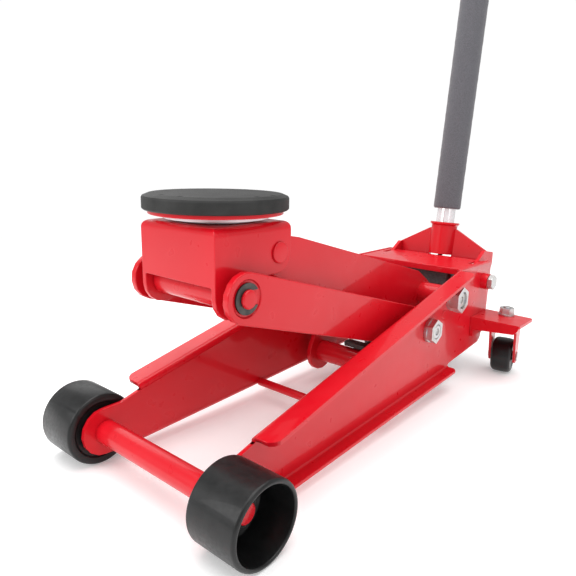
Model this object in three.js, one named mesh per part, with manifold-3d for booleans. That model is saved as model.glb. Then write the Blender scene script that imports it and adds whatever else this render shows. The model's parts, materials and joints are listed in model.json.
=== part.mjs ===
// Low-profile hydraulic trolley jack, millimetres, +Z up.
// +X points to the lifting end, +Y to the jack's left side, and the mid-plane is Y = 0.
// While it is built, the front axle stands over X = 0 and the ground is Z = 0.
import * as THREE from "three";
import { mergeVertices } from "three/addons/utils/BufferGeometryUtils.js";
import Module from "manifold-3d";

const wasm = await Module();
wasm.setup();

// ---------------------------------------------------------------- driving dimensions
const TRACK_WIDTH = 330;            // over the outer faces of the front wheels
const WHEEL_RADIUS = 43.5;
const WHEEL_WIDTH = 63;
const WHEEL_SIDE_GAP = 2.5;         // front wheel to side plate
const PLATE_THICKNESS = 5;
const AXLE_RADIUS = 14;
const AXLE_JOURNAL_RADIUS = 11;
const AXLE_OVERHANG = 40;           // journal end beyond the side plate

const ARM_REAR_PIVOT = { x: -421, z: 115 };
const ARM_FRONT_PIVOT = { x: -60, z: 225 };
const LINK_SHIFT = { x: -69, z: 36 };   // link pivots, seen from the arm pivots
const ARM_LOBE_OFFSET = { x: 33, z: -65 };   // ram tube, seen from the arm's rear pivot
const ARM_THICKNESS = 8;
const ARM_HALF_DEPTH = 26;

const HEAD_FRONT_REACH = 25;        // front edge ahead of the arm's front pivot
const HEAD_REAR_REACH = 88;         // rear edge behind that pivot
const HEAD_RISE = 69;               // top face above that pivot
const HEAD_THICKNESS = 6;

const SADDLE_RADIUS = 79;
const PAD_THICKNESS = 17;

const LINK_THICKNESS = 5;

const YOKE_PIVOT = { x: -610, z: 160 };
const HANDLE_LEAN = THREE.MathUtils.degToRad(6.5);
const HANDLE_FOOT = { x: -650, z: 190 };   // lower end of the socket, on its axis
const HANDLE_TUBE_RADIUS = 16;
const SLEEVE_LENGTH = 430;
const UPPER_TUBE_LENGTH = 420;
const GRIP_LENGTH = 135;

const CASTER_PLATE_Z = 104;         // upper face of the caster bracket
const CASTER_RADIUS = 30;
const CASTER_WIDTH = 32;
const CASTER_TRAIL = 11;
const CASTER_YAW = THREE.MathUtils.degToRad(10);
const CASTER_OFFSET = 40.5;         // caster pivot to the side plate's outer face
const BRACKET_REACH = 81.5;         // caster bracket beyond the side plate's outer face

// ---------------------------------------------------------------- clearances
const FIT = 0.3;                    // between two touching parts
const RUNNING = 0.6;                // between two parts that turn on each other
const RAM_HOOK_CLEARANCE = 3.6;     // the open pivot of the ram linkage
const ARM_SIDE_GAP = 15.2;          // side plate to arm plate
const HEAD_SIDE_GAP = 11.8;         // arm plate to saddle bracket
const LINK_SIDE_GAP = 4.5;          // saddle bracket to link
const YOKE_SIDE_GAP = 8.5;          // side plate to the yoke's ear
const UNIT_SIDE_GAP = 36.5;         // side plate to pump block
const FLANGE_WHEEL_GAP = 5.5;       // front wheel to the end of an upper flange

// ---------------------------------------------------------------- derived sizes
const FRAME_HALF = TRACK_WIDTH / 2 - WHEEL_WIDTH - WHEEL_SIDE_GAP;
const FRAME_INNER = FRAME_HALF - PLATE_THICKNESS;
const ARM_OUTER_HALF = FRAME_INNER - ARM_SIDE_GAP;
const ARM_INNER_HALF = ARM_OUTER_HALF - ARM_THICKNESS;
const HEAD_HALF = ARM_INNER_HALF - HEAD_SIDE_GAP;
const LINK_HALF = HEAD_HALF - HEAD_THICKNESS - LINK_SIDE_GAP;
const YOKE_HALF = FRAME_INNER - YOKE_SIDE_GAP;
const CASTER_PIVOT = { x: -626, y: FRAME_HALF + CASTER_OFFSET };
const HEAD_FRONT_X = ARM_FRONT_PIVOT.x + HEAD_FRONT_REACH;
const HEAD_REAR_X = ARM_FRONT_PIVOT.x - HEAD_REAR_REACH;
const HEAD_TOP_Z = ARM_FRONT_PIVOT.z + HEAD_RISE;
const LINK_REAR_PIVOT = shifted(ARM_REAR_PIVOT, LINK_SHIFT);
const LINK_FRONT_PIVOT = shifted(ARM_FRONT_PIVOT, LINK_SHIFT);
const LOBE = shifted(ARM_REAR_PIVOT, ARM_LOBE_OFFSET);
const SADDLE_X = (HEAD_FRONT_X + HEAD_REAR_X) / 2;

const FINE = 30;                    // facets round a large circle
const MEDIUM = 20;
const COARSE = 12;
const ARC_STEP = Math.PI / 8;       // facet angle of rounded corners

// ---------------------------------------------------------------- materials
const paint = (colour, roughness, metalness) => {
  return new THREE.MeshStandardMaterial({ color: colour, roughness, metalness });
};
const RED = paint(0xd61f2c, 0.25, 0.1);
const ZINC = paint(0xb9b7b4, 0.35, 0.9);
const CHROME = paint(0xdedede, 0.12, 1.0);
const DARK_STEEL = paint(0x3b3d3c, 0.45, 0.8);
const CAST = paint(0x6b6e70, 0.55, 0.7);
const BLACK_NYLON = paint(0x1c1d1e, 0.4, 0.0);
const BLACK_RUBBER = paint(0x2e2e2c, 0.7, 0.0);
const GREY_FOAM = paint(0x6f6e74, 0.9, 0.0);
const WHITE_PLASTIC = paint(0xe4e2e6, 0.35, 0.0);

// ---------------------------------------------------------------- small helpers
function shifted(point, by) {
  return { x: point.x + by.x, z: point.z + by.z };
}

function signedVolume(positions, triangles) {
  const corner = (index) => new THREE.Vector3().fromArray(positions, 3 * triangles[index]);
  let total = 0;
  for (let index = 0; index < triangles.length; index += 3) {
    total += corner(index).dot(corner(index + 1).cross(corner(index + 2)));
  }
  return total / 6;
}

// A closed three.js geometry as a solid body, whichever way its faces were wound.
function solid(geometry) {
  const bare = geometry.clone();
  bare.deleteAttribute("normal");
  bare.deleteAttribute("uv");
  const welded = mergeVertices(bare, 1e-4);
  const positions = Float32Array.from(welded.attributes.position.array);
  const index = Array.from(welded.index.array);
  const triangles = [];
  for (let first = 0; first < index.length; first += 3) {
    const [a, b, c] = index.slice(first, first + 3);
    if (a !== b && b !== c && c !== a) {
      triangles.push(a, b, c);
    }
  }
  if (signedVolume(positions, triangles) < 0) {
    triangles.reverse();
  }
  const mesh = new wasm.Mesh({
    numProp: 3,
    vertProperties: positions,
    triVerts: Uint32Array.from(triangles),
  });
  return new wasm.Manifold(mesh);
}

function geometryOf(body) {
  const mesh = body.getMesh();
  const geometry = new THREE.BufferGeometry();
  geometry.setAttribute("position", new THREE.BufferAttribute(mesh.vertProperties.slice(), 3));
  geometry.setIndex(new THREE.BufferAttribute(mesh.triVerts.slice(), 1));
  return geometry;
}

function joined(...bodies) {
  return bodies.reduce((whole, body) => whole.add(body));
}

function cut(body, ...tools) {
  return tools.reduce((rest, tool) => rest.subtract(tool), body);
}

// The same body on the other side of the mid-plane.
function mirrored(body) {
  const geometry = geometryOf(body);
  geometry.scale(1, -1, 1);
  return solid(geometry);
}

// The body turned in the X-Z plane; a positive angle lifts the +X side.
function turnedUp(body, angle, pivot) {
  const geometry = geometryOf(body);
  geometry.translate(-pivot.x, 0, -pivot.z);
  geometry.rotateY(-angle);
  geometry.translate(pivot.x, 0, pivot.z);
  return solid(geometry);
}

function arcPoints(centre, radius, from, to) {
  const steps = Math.max(2, Math.ceil(Math.abs(to - from) / ARC_STEP));
  const points = [];
  for (let step = 0; step <= steps; step += 1) {
    const angle = from + ((to - from) * step) / steps;
    points.push(new THREE.Vector2(
      centre.x + radius * Math.cos(angle),
      centre.y + radius * Math.sin(angle),
    ));
  }
  return points;
}

// A closed outline from corners [a, b, radius]; a radius rounds its corner.
function outline(corners) {
  const points = corners.flatMap(([a, b, radius = 0], index) => {
    const corner = new THREE.Vector2(a, b);
    if (radius === 0) {
      return [corner];
    }
    const previous = corners[(index + corners.length - 1) % corners.length];
    const next = corners[(index + 1) % corners.length];
    const back = new THREE.Vector2(previous[0], previous[1]).sub(corner).normalize();
    const ahead = new THREE.Vector2(next[0], next[1]).sub(corner).normalize();
    const half = Math.acos(THREE.MathUtils.clamp(back.dot(ahead), -1, 1)) / 2;
    const bisector = back.clone().add(ahead).normalize();
    const centre = corner.clone().addScaledVector(bisector, radius / Math.sin(half));
    const start = corner.clone().addScaledVector(back, radius / Math.tan(half)).sub(centre);
    const end = corner.clone().addScaledVector(ahead, radius / Math.tan(half)).sub(centre);
    const from = start.angle();
    let sweep = end.angle() - from;
    sweep -= 2 * Math.PI * Math.round(sweep / (2 * Math.PI));
    return arcPoints(centre, radius, from, from + sweep);
  });
  return new THREE.Shape(points);
}

// The outline of a belt round two circles in the X-Z plane.
function beltOutline(first, firstRadius, second, secondRadius) {
  const along = new THREE.Vector2(second.x - first.x, second.z - first.z);
  const heading = along.angle();
  const spread = Math.acos((firstRadius - secondRadius) / along.length());
  const firstCentre = new THREE.Vector2(first.x, first.z);
  const secondCentre = new THREE.Vector2(second.x, second.z);
  return new THREE.Shape([
    ...arcPoints(firstCentre, firstRadius, heading + spread, heading + 2 * Math.PI - spread),
    ...arcPoints(secondCentre, secondRadius, heading - spread, heading + spread),
  ]);
}

function extruded(shape, depth) {
  return new THREE.ExtrudeGeometry(shape, { depth, bevelEnabled: false, steps: 1 });
}

// Plate with its outline in X-Z, standing between two Y values.
function sidePrism(shape, yFrom, yTo) {
  const geometry = extruded(shape, yTo - yFrom);
  geometry.rotateX(Math.PI / 2);
  geometry.translate(0, yTo, 0);
  return solid(geometry);
}

// Plate with its outline in X-Y, lying between two Z values.
function flatPrism(shape, zFrom, zTo) {
  const geometry = extruded(shape, zTo - zFrom);
  geometry.translate(0, 0, zFrom);
  return solid(geometry);
}

// Plate with its outline in Y-Z, standing between two X values.
function crossPrism(shape, xFrom, xTo) {
  const geometry = extruded(shape, xTo - xFrom);
  const toWorld = new THREE.Matrix4().makeBasis(
    new THREE.Vector3(0, 1, 0),
    new THREE.Vector3(0, 0, 1),
    new THREE.Vector3(1, 0, 0),
  );
  geometry.applyMatrix4(toWorld);
  geometry.translate(xFrom, 0, 0);
  return solid(geometry);
}

function block(xFrom, xTo, yFrom, yTo, zFrom, zTo) {
  const geometry = new THREE.BoxGeometry(xTo - xFrom, yTo - yFrom, zTo - zFrom);
  geometry.translate((xFrom + xTo) / 2, (yFrom + yTo) / 2, (zFrom + zTo) / 2);
  return solid(geometry);
}

// Bar along Y at a pivot point of the X-Z plane.
function pinY(radius, yFrom, yTo, at, facets = MEDIUM) {
  const geometry = new THREE.CylinderGeometry(radius, radius, yTo - yFrom, facets);
  geometry.translate(at.x, (yFrom + yTo) / 2, at.z);
  return solid(geometry);
}

function pinZ(radius, zFrom, zTo, x, y, facets = MEDIUM) {
  const geometry = new THREE.CylinderGeometry(radius, radius, zTo - zFrom, facets);
  geometry.rotateX(Math.PI / 2);
  geometry.translate(x, y, (zFrom + zTo) / 2);
  return solid(geometry);
}

function pinX(radius, xFrom, xTo, y, z, facets = MEDIUM) {
  const geometry = new THREE.CylinderGeometry(radius, radius, xTo - xFrom, facets);
  geometry.rotateZ(Math.PI / 2);
  geometry.translate((xFrom + xTo) / 2, y, z);
  return solid(geometry);
}

// Turned body about the Z axis; profile is [radius, height] pairs.
function turnedZ(profile, x, y, facets = MEDIUM) {
  const points = profile.map(([radius, height]) => new THREE.Vector2(radius, height));
  const geometry = new THREE.LatheGeometry(points, facets);
  geometry.rotateX(Math.PI / 2);
  geometry.translate(x, y, 0);
  return solid(geometry);
}

// Turned body about a Y-direction axis; profile is [radius, y] pairs.
function turnedY(profile, at, facets = MEDIUM) {
  const points = profile.map(([radius, y]) => new THREE.Vector2(radius, y));
  const geometry = new THREE.LatheGeometry(points, facets);
  geometry.translate(at.x, 0, at.z);
  return solid(geometry);
}

// Hexagon nut or head along Y.
function hexY(acrossFlats, yFrom, yTo, at) {
  return pinY(acrossFlats / Math.sqrt(3), yFrom, yTo, at, 6);
}

function hexZ(acrossFlats, zFrom, zTo, x, y) {
  return pinZ(acrossFlats / Math.sqrt(3), zFrom, zTo, x, y, 6);
}

// ---------------------------------------------------------------- side plates
const FLANGE_END = -WHEEL_RADIUS - FLANGE_WHEEL_GAP;
const TOP_EDGE = { front: { x: FLANGE_END, z: 87.5 }, rear: { x: -512, z: 192 } };
const LOWER_EDGE = { front: { x: FLANGE_END - 3, z: 10.8 }, rear: { x: -497, z: 31 } };
const TOP_FLANGE = 27.5;
const LOWER_FLANGE = 17;
const BEND_INSIDE = 3;
const TIE_ROD = { x: -263, z: 26 };
const TIE_ROD_RADIUS = 6;
const MOUNT_BOSS = { x: -467, z: 129 };

// A strip bent outward along one edge of the left side plate; `side` is 1 for an upper edge
// and -1 for a lower one. Both edges are given from front to rear.
function bentEdge({ front, rear }, side, width, cornerRadius) {
  const along = new THREE.Vector3(front.x - rear.x, 0, front.z - rear.z);
  const length = along.length();
  const run = along.normalize().multiplyScalar(side);
  const outward = new THREE.Vector3(0, 1, 0);
  const normal = new THREE.Vector3().crossVectors(run, outward);
  const origin = side > 0 ? rear : front;
  const bendRadius = BEND_INSIDE + PLATE_THICKNESS;
  const bendCentre = new THREE.Vector2(FRAME_HALF + BEND_INSIDE, -bendRadius);
  const section = new THREE.Shape([
    new THREE.Vector2(FRAME_INNER, -2 * bendRadius),
    new THREE.Vector2(FRAME_HALF, -2 * bendRadius),
    ...arcPoints(bendCentre, BEND_INSIDE, Math.PI, Math.PI / 2),
    new THREE.Vector2(FRAME_HALF + width, -PLATE_THICKNESS),
    new THREE.Vector2(FRAME_HALF + width, 0),
    ...arcPoints(bendCentre, bendRadius, Math.PI / 2, Math.PI),
  ]);
  const strip = solid(extruded(section, length));
  const plan = outline([
    [FRAME_INNER - 1, -1],
    [FRAME_HALF + BEND_INSIDE, -1],
    [FRAME_HALF + width + 1, 0, cornerRadius],
    [FRAME_HALF + width + 1, length, cornerRadius],
    [FRAME_HALF + BEND_INSIDE, length + 1],
    [FRAME_INNER - 1, length + 1],
  ]);
  const keep = extruded(plan, 3 * bendRadius);
  keep.rotateX(Math.PI / 2);
  keep.translate(0, bendRadius / 2, 0);
  const trimmed = geometryOf(strip.intersect(solid(keep)));
  const toWorld = new THREE.Matrix4().makeBasis(outward, normal, run);
  toWorld.setPosition(origin.x, 0, origin.z);
  trimmed.applyMatrix4(toWorld);
  return solid(trimmed);
}

function sidePlate() {
  const bend = BEND_INSIDE + PLATE_THICKNESS;
  const noseRadius = 29;
  const web = sidePrism(outline([
    [noseRadius, WHEEL_RADIUS - noseRadius, noseRadius - 0.1],
    [noseRadius, WHEEL_RADIUS + noseRadius, noseRadius - 0.1],
    [-24, WHEEL_RADIUS + noseRadius, 20],
    [TOP_EDGE.front.x + 2, TOP_EDGE.front.z - bend],
    [TOP_EDGE.rear.x, TOP_EDGE.rear.z - bend],
    [TOP_EDGE.rear.x, TOP_EDGE.rear.z],
    [-641, TOP_EDGE.rear.z, 8],
    [-638, 100, 40],
    [-620, 50, 22],
    [-501, 41, 4],
    [LOWER_EDGE.rear.x, LOWER_EDGE.rear.z + bend],
    [LOWER_EDGE.front.x, LOWER_EDGE.front.z + bend],
    [-40, WHEEL_RADIUS - noseRadius, 10],
  ]), FRAME_INNER, FRAME_HALF);
  const plate = joined(
    web,
    bentEdge(TOP_EDGE, 1, TOP_FLANGE, 16),
    bentEdge(LOWER_EDGE, -1, LOWER_FLANGE, 12),
    pinY(MOUNT_BOSS_RADIUS, FRAME_HALF - 1, FRAME_HALF + 1, MOUNT_BOSS, COARSE),
    pinY(YOKE_BOSS_RADIUS, FRAME_HALF - 1, YOKE_BOSS_FACE, YOKE_PIVOT),
  );
  const through = (radius, at) => pinY(radius + FIT, FRAME_INNER - 1, YOKE_BOSS_FACE + 1, at);
  return cut(
    plate,
    through(AXLE_JOURNAL_RADIUS, { x: 0, z: WHEEL_RADIUS }),
    through(ARM_BOLT_RADIUS, ARM_REAR_PIVOT),
    through(LINK_SHAFT_RADIUS, LINK_REAR_PIVOT),
    through(YOKE_BOLT_RADIUS, YOKE_PIVOT),
  );
}

// ---------------------------------------------------------------- frame cross members
const ARM_BOLT_RADIUS = 11;
const LINK_SHAFT_RADIUS = 13;
const YOKE_BOLT_RADIUS = 8;
const YOKE_BOSS_RADIUS = 13.5;
const YOKE_BOSS_FACE = FRAME_HALF + 11.3;
const MOUNT_BOSS_RADIUS = 7;

function frontAxle() {
  const inner = FRAME_INNER - FIT;
  const tip = FRAME_HALF + AXLE_OVERHANG;
  const groove = tip - 6;
  return turnedY([
    [0, -tip],
    [AXLE_JOURNAL_RADIUS - 1, -tip],
    [AXLE_JOURNAL_RADIUS, -tip + 1],
    [AXLE_JOURNAL_RADIUS, -groove - 2.6],
    [AXLE_JOURNAL_RADIUS - 1.5, -groove - 2.6],
    [AXLE_JOURNAL_RADIUS - 1.5, -groove],
    [AXLE_JOURNAL_RADIUS, -groove],
    [AXLE_JOURNAL_RADIUS, -inner],
    [AXLE_RADIUS, -inner],
    [AXLE_RADIUS, inner],
    [AXLE_JOURNAL_RADIUS, inner],
    [AXLE_JOURNAL_RADIUS, groove],
    [AXLE_JOURNAL_RADIUS - 1.5, groove],
    [AXLE_JOURNAL_RADIUS - 1.5, groove + 2.6],
    [AXLE_JOURNAL_RADIUS, groove + 2.6],
    [AXLE_JOURNAL_RADIUS, tip - 1],
    [AXLE_JOURNAL_RADIUS - 1, tip],
    [0, tip],
  ], { x: 0, z: WHEEL_RADIUS }, MEDIUM);
}

function axleRetainer() {
  const groove = FRAME_HALF + AXLE_OVERHANG - 6;
  const innerRadius = AXLE_JOURNAL_RADIUS - 1.5 + FIT;
  return turnedY([
    [innerRadius, groove + FIT],
    [AXLE_JOURNAL_RADIUS + 4.5, groove + FIT],
    [AXLE_JOURNAL_RADIUS + 4.5, groove + 2.3],
    [innerRadius, groove + 2.3],
    [innerRadius, groove + FIT],
  ], { x: 0, z: WHEEL_RADIUS }, MEDIUM);
}

function tieRod() {
  return pinY(TIE_ROD_RADIUS, -FRAME_INNER + FIT, FRAME_INNER - FIT, TIE_ROD, COARSE);
}

// Shoulder bolt on which one lift-arm plate turns; its head is inside the arm.
function armPivotBolt() {
  const headInner = ARM_INNER_HALF - 8;
  return turnedY([
    [0, headInner],
    [17, headInner],
    [17, ARM_INNER_HALF - RUNNING],
    [ARM_BOLT_RADIUS, ARM_INNER_HALF - RUNNING],
    [ARM_BOLT_RADIUS, FRAME_HALF + 12],
    [ARM_BOLT_RADIUS - 1.5, FRAME_HALF + 13.5],
    [0, FRAME_HALF + 13.5],
  ], ARM_REAR_PIVOT);
}

function pivotNut(at, boltRadius, acrossFlats, flangeRadius, thickness) {
  const base = FRAME_HALF + FIT;
  const collar = Math.min(5, thickness / 3);
  const nut = joined(
    hexY(acrossFlats, base + collar - 0.5, base + thickness, at),
    pinY(flangeRadius, base, base + collar, at),
  );
  return cut(nut, pinY(boltRadius + FIT, base - 1, base + thickness + 1, at));
}

function linkShaft() {
  const reach = FRAME_HALF + 17;
  return turnedY([
    [0, -reach],
    [LINK_SHAFT_RADIUS - 1.5, -reach],
    [LINK_SHAFT_RADIUS, -reach + 1.5],
    [LINK_SHAFT_RADIUS, reach - 1.5],
    [LINK_SHAFT_RADIUS - 1.5, reach],
    [0, reach],
  ], LINK_REAR_PIVOT);
}

// Lid over the power unit, slotted at the rear for the yoke's ears.
const COVER = { front: -526, slotFront: -586, rear: -627, top: 191, thickness: 4, lip: 10 };

function coverPlate() {
  const half = FRAME_INNER - FIT;
  const { front, slotFront, rear, top, thickness, lip } = COVER;
  const lid = block(rear, front, -half, half, top - thickness, top);
  const frontLip = block(front - thickness, front, -half, half, top - lip, top - 2);
  const sideLip = block(slotFront, front, half - thickness, half, top - lip, top - 2);
  const slotInner = YOKE_HALF - EAR_THICKNESS - RUNNING;
  const slotOuter = YOKE_HALF + RUNNING;
  const slot = block(rear - 1, slotFront, slotInner, slotOuter, top - thickness - 1, top + 1);
  return cut(
    joined(lid, frontLip, sideLip, mirrored(sideLip)),
    slot,
    mirrored(slot),
  );
}

// ---------------------------------------------------------------- power unit
const UNIT = {
  front: -566,
  rear: -664,
  half: FRAME_INNER - UNIT_SIDE_GAP,
  floor: 42,
  top: 118,
  tankRear: -593,
  tankTop: 177,
};
const CHEEK = { inner: 34, outer: 44, radius: 17 };   // ears that carry the ram's trunnion
const UNIT_LUG = { x: -588, z: 92 };
const TRUNNION = { x: -545, z: 80 };
const TRUNNION_RADIUS = 9;
const PUMP = { x: -642, y: 26, radius: 15, bore: 8, floor: 60, top: 128 };
const PUMP_THREAD_RADIUS = 11;
const VALVE = { x: YOKE_PIVOT.x, y: 0 };
const KNUCKLE_RADIUS = 8;
const FILLER = { x: -606, y: -42 };

function pumpBlock() {
  const plan = outline([
    [UNIT.rear, -24, 10],
    [UNIT.rear, 46, 10],
    [-620, 46, 6],
    [-612, UNIT.half, 6],
    [UNIT.front, UNIT.half, 8],
    [UNIT.front, -UNIT.half, 8],
    [-612, -UNIT.half, 6],
    [-620, -24, 6],
  ]);
  const tankPlan = outline([
    [UNIT.tankRear, -UNIT.half, 6],
    [UNIT.front, -UNIT.half, 8],
    [UNIT.front, UNIT.half, 8],
    [UNIT.tankRear, UNIT.half, 6],
  ]);
  const body = joined(
    flatPrism(plan, UNIT.floor, UNIT.top),
    flatPrism(tankPlan, UNIT.top - 1, UNIT.tankTop),
  );
  const root = { x: UNIT.front - 10, z: TRUNNION.z };
  const cheek = sidePrism(beltOutline(TRUNNION, CHEEK.radius, root, 20), CHEEK.inner, CHEEK.outer);
  const lug = pinY(13, UNIT.half - 2, FRAME_INNER - FIT, UNIT_LUG);
  return cut(
    joined(body, cheek, mirrored(cheek), lug, mirrored(lug)),
    pinY(TRUNNION_RADIUS + FIT, -CHEEK.outer - 1, CHEEK.outer + 1, TRUNNION),
    pinZ(PUMP_THREAD_RADIUS + FIT, PUMP.floor, UNIT.top + 1, PUMP.x, PUMP.y),
    pinZ(7 + FIT, UNIT.top - 25, UNIT.top + 1, VALVE.x, VALVE.y, COARSE),
    pinZ(6 + FIT, UNIT.top - 14, UNIT.top + 1, FILLER.x, FILLER.y, COARSE),
  );
}

// Hollow pump barrel screwed into the block, open upward for its plunger.
function pumpBarrel() {
  return turnedZ([
    [PUMP.bore, PUMP.floor + 2],
    [PUMP_THREAD_RADIUS, PUMP.floor + 2],
    [PUMP_THREAD_RADIUS, UNIT.top + FIT],
    [PUMP.radius, UNIT.top + FIT],
    [PUMP.radius, PUMP.top],
    [PUMP.bore, PUMP.top],
    [PUMP.bore, PUMP.floor + 2],
  ], PUMP.x, PUMP.y);
}

// The plunger touches the yoke's roller at the top of its stroke.
const PLUNGER_FOOT = 97;

function pumpPlunger() {
  const top = YOKE_ROLLER.z - YOKE_ROLLER_RADIUS - FIT;
  return pinZ(PUMP.bore - FIT, PLUNGER_FOOT, top, PUMP.x, PUMP.y);
}

// Valve spindle reaching up to the knuckle on the yoke's pivot line.
function releaseValve() {
  const top = YOKE_PIVOT.z - KNUCKLE_RADIUS - FIT;
  return joined(
    pinZ(7, UNIT.top - 22, UNIT.top + 8, VALVE.x, VALVE.y, COARSE),
    pinZ(4, UNIT.top + 7, top - 7, VALVE.x, VALVE.y, COARSE),
    hexZ(14, top - 8, top, VALVE.x, VALVE.y),
  );
}

function fillerPlug() {
  const stem = pinZ(6, UNIT.top - 12, UNIT.top + 3, FILLER.x, FILLER.y, COARSE);
  const cap = pinZ(9, UNIT.top + FIT, UNIT.top + 7, FILLER.x, FILLER.y, COARSE);
  return joined(stem, cap);
}

// The ram runs along the line from its trunnion to the lobe tube.
const RAM_EYE = { x: LOBE.x - 1.7, z: LOBE.z + 1.8 };
const RAM_ANGLE = Math.atan2(RAM_EYE.z - TRUNNION.z, RAM_EYE.x - TRUNNION.x);
const RAM_LENGTH = Math.hypot(RAM_EYE.z - TRUNNION.z, RAM_EYE.x - TRUNNION.x);
const RAM_CYLINDER = { from: 19, to: 101, radius: 27, bore: 21 };
const RAM_TAIL = { half: 26, radius: 16 };
const END_WALL = 6.5;
const PISTON = { rear: 52.5, front: 62.5 };   // distances from the trunnion, at rest
const RAM_ROD_RADIUS = 14;

function alongRam(body) {
  return turnedUp(body, RAM_ANGLE, TRUNNION);
}

function ramCylinder() {
  const { from, to, radius, bore } = RAM_CYLINDER;
  const at = (distance) => TRUNNION.x + distance;
  const shell = pinX(radius, at(from), at(to), 0, TRUNNION.z, FINE);
  const half = RAM_TAIL.half;
  const reach = CHEEK.outer + 4;
  const tail = joined(
    pinY(RAM_TAIL.radius, -half, half, TRUNNION),
    block(at(0), at(from + 1), -half, half, TRUNNION.z - RAM_TAIL.radius, TRUNNION.z + RAM_TAIL.radius),
    pinY(TRUNNION_RADIUS, -reach, reach, TRUNNION, COARSE),
  );
  return alongRam(cut(
    joined(shell, tail),
    pinX(bore, at(from + END_WALL), at(to - END_WALL), 0, TRUNNION.z, FINE),
    pinX(RAM_ROD_RADIUS + FIT, at(to - END_WALL - 1), at(to + 1), 0, TRUNNION.z),
  ));
}

// Piston, rod and the open hook that bears on the lobe tube.
function ramRod() {
  const at = (distance) => TRUNNION.x + distance;
  const hookRadius = LOBE_TUBE_RADIUS + RAM_HOOK_CLEARANCE;
  const outer = hookRadius + 7;
  const eye = { x: at(RAM_LENGTH), z: TRUNNION.z };
  const { rear, front } = PISTON;
  const piston = pinX(RAM_CYLINDER.bore - FIT, at(rear), at(front), 0, TRUNNION.z, FINE);
  const rod = pinX(RAM_ROD_RADIUS, at(front - 1), at(RAM_LENGTH - hookRadius - 2), 0, TRUNNION.z);
  const hook = cut(
    pinY(outer, -24, 24, eye, FINE),
    pinY(hookRadius, -25, 25, eye, FINE),
    block(eye.x + 4, eye.x + outer + 1, -25, 25, eye.z - outer - 1, eye.z + outer + 1),
  );
  return alongRam(joined(piston, rod, hook));
}

// ---------------------------------------------------------------- lift arm
const LOBE_TUBE_RADIUS = 17;
const HEAD_PIN_RADIUS = 10;
const CLIP_RADIUS = 16.5;
const CLIP_RECESS = 2;              // depth of the counterbore round the head pin

function armPlate() {
  const bar = beltOutline(ARM_FRONT_PIVOT, ARM_HALF_DEPTH + 1, ARM_REAR_PIVOT, ARM_HALF_DEPTH + 4);
  const lobe = beltOutline(ARM_REAR_PIVOT, ARM_HALF_DEPTH + 4, LOBE, 32);
  const from = ARM_INNER_HALF;
  const to = ARM_OUTER_HALF;
  const hub = pinY(19, to - 1, FRAME_INNER - RUNNING, ARM_REAR_PIVOT);
  return cut(
    joined(sidePrism(bar, from, to), sidePrism(lobe, from, to), hub),
    pinY(HEAD_PIN_RADIUS + FIT, from - 1, to + 1, ARM_FRONT_PIVOT),
    pinY(CLIP_RADIUS + 3, to - CLIP_RECESS, to + 1, ARM_FRONT_PIVOT, FINE),
    pinY(ARM_BOLT_RADIUS + RUNNING, from - 1, FRAME_INNER, ARM_REAR_PIVOT),
  );
}

function lobeTube() {
  const half = ARM_INNER_HALF - FIT;
  return turnedY([
    [LOBE_TUBE_RADIUS - 5, -half],
    [LOBE_TUBE_RADIUS, -half],
    [LOBE_TUBE_RADIUS, half],
    [LOBE_TUBE_RADIUS - 5, half],
    [LOBE_TUBE_RADIUS - 5, -half],
  ], LOBE);
}

function headPin() {
  const tip = ARM_OUTER_HALF + 5;
  const groove = ARM_OUTER_HALF - CLIP_RECESS + FIT;
  const root = HEAD_PIN_RADIUS - 1.5;
  return turnedY([
    [0, -tip],
    [HEAD_PIN_RADIUS - 1, -tip],
    [HEAD_PIN_RADIUS, -tip + 1],
    [HEAD_PIN_RADIUS, -groove - 2.6],
    [root, -groove - 2.6],
    [root, -groove],
    [HEAD_PIN_RADIUS, -groove],
    [HEAD_PIN_RADIUS, groove],
    [root, groove],
    [root, groove + 2.6],
    [HEAD_PIN_RADIUS, groove + 2.6],
    [HEAD_PIN_RADIUS, tip - 1],
    [HEAD_PIN_RADIUS - 1, tip],
    [0, tip],
  ], ARM_FRONT_PIVOT);
}

// Open retaining clip in the head pin's groove; its mouth faces the rear.
function headPinClip() {
  const from = ARM_OUTER_HALF - CLIP_RECESS + 2 * FIT;
  const at = ARM_FRONT_PIVOT;
  const ring = cut(
    pinY(CLIP_RADIUS, from, from + 2, at, FINE),
    pinY(HEAD_PIN_RADIUS - 1.5 + FIT, from - 1, from + 3, at),
    block(at.x - 20, at.x - 4, from - 1, from + 3, at.z - 8, at.z + 8),
  );
  return ring;
}

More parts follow.
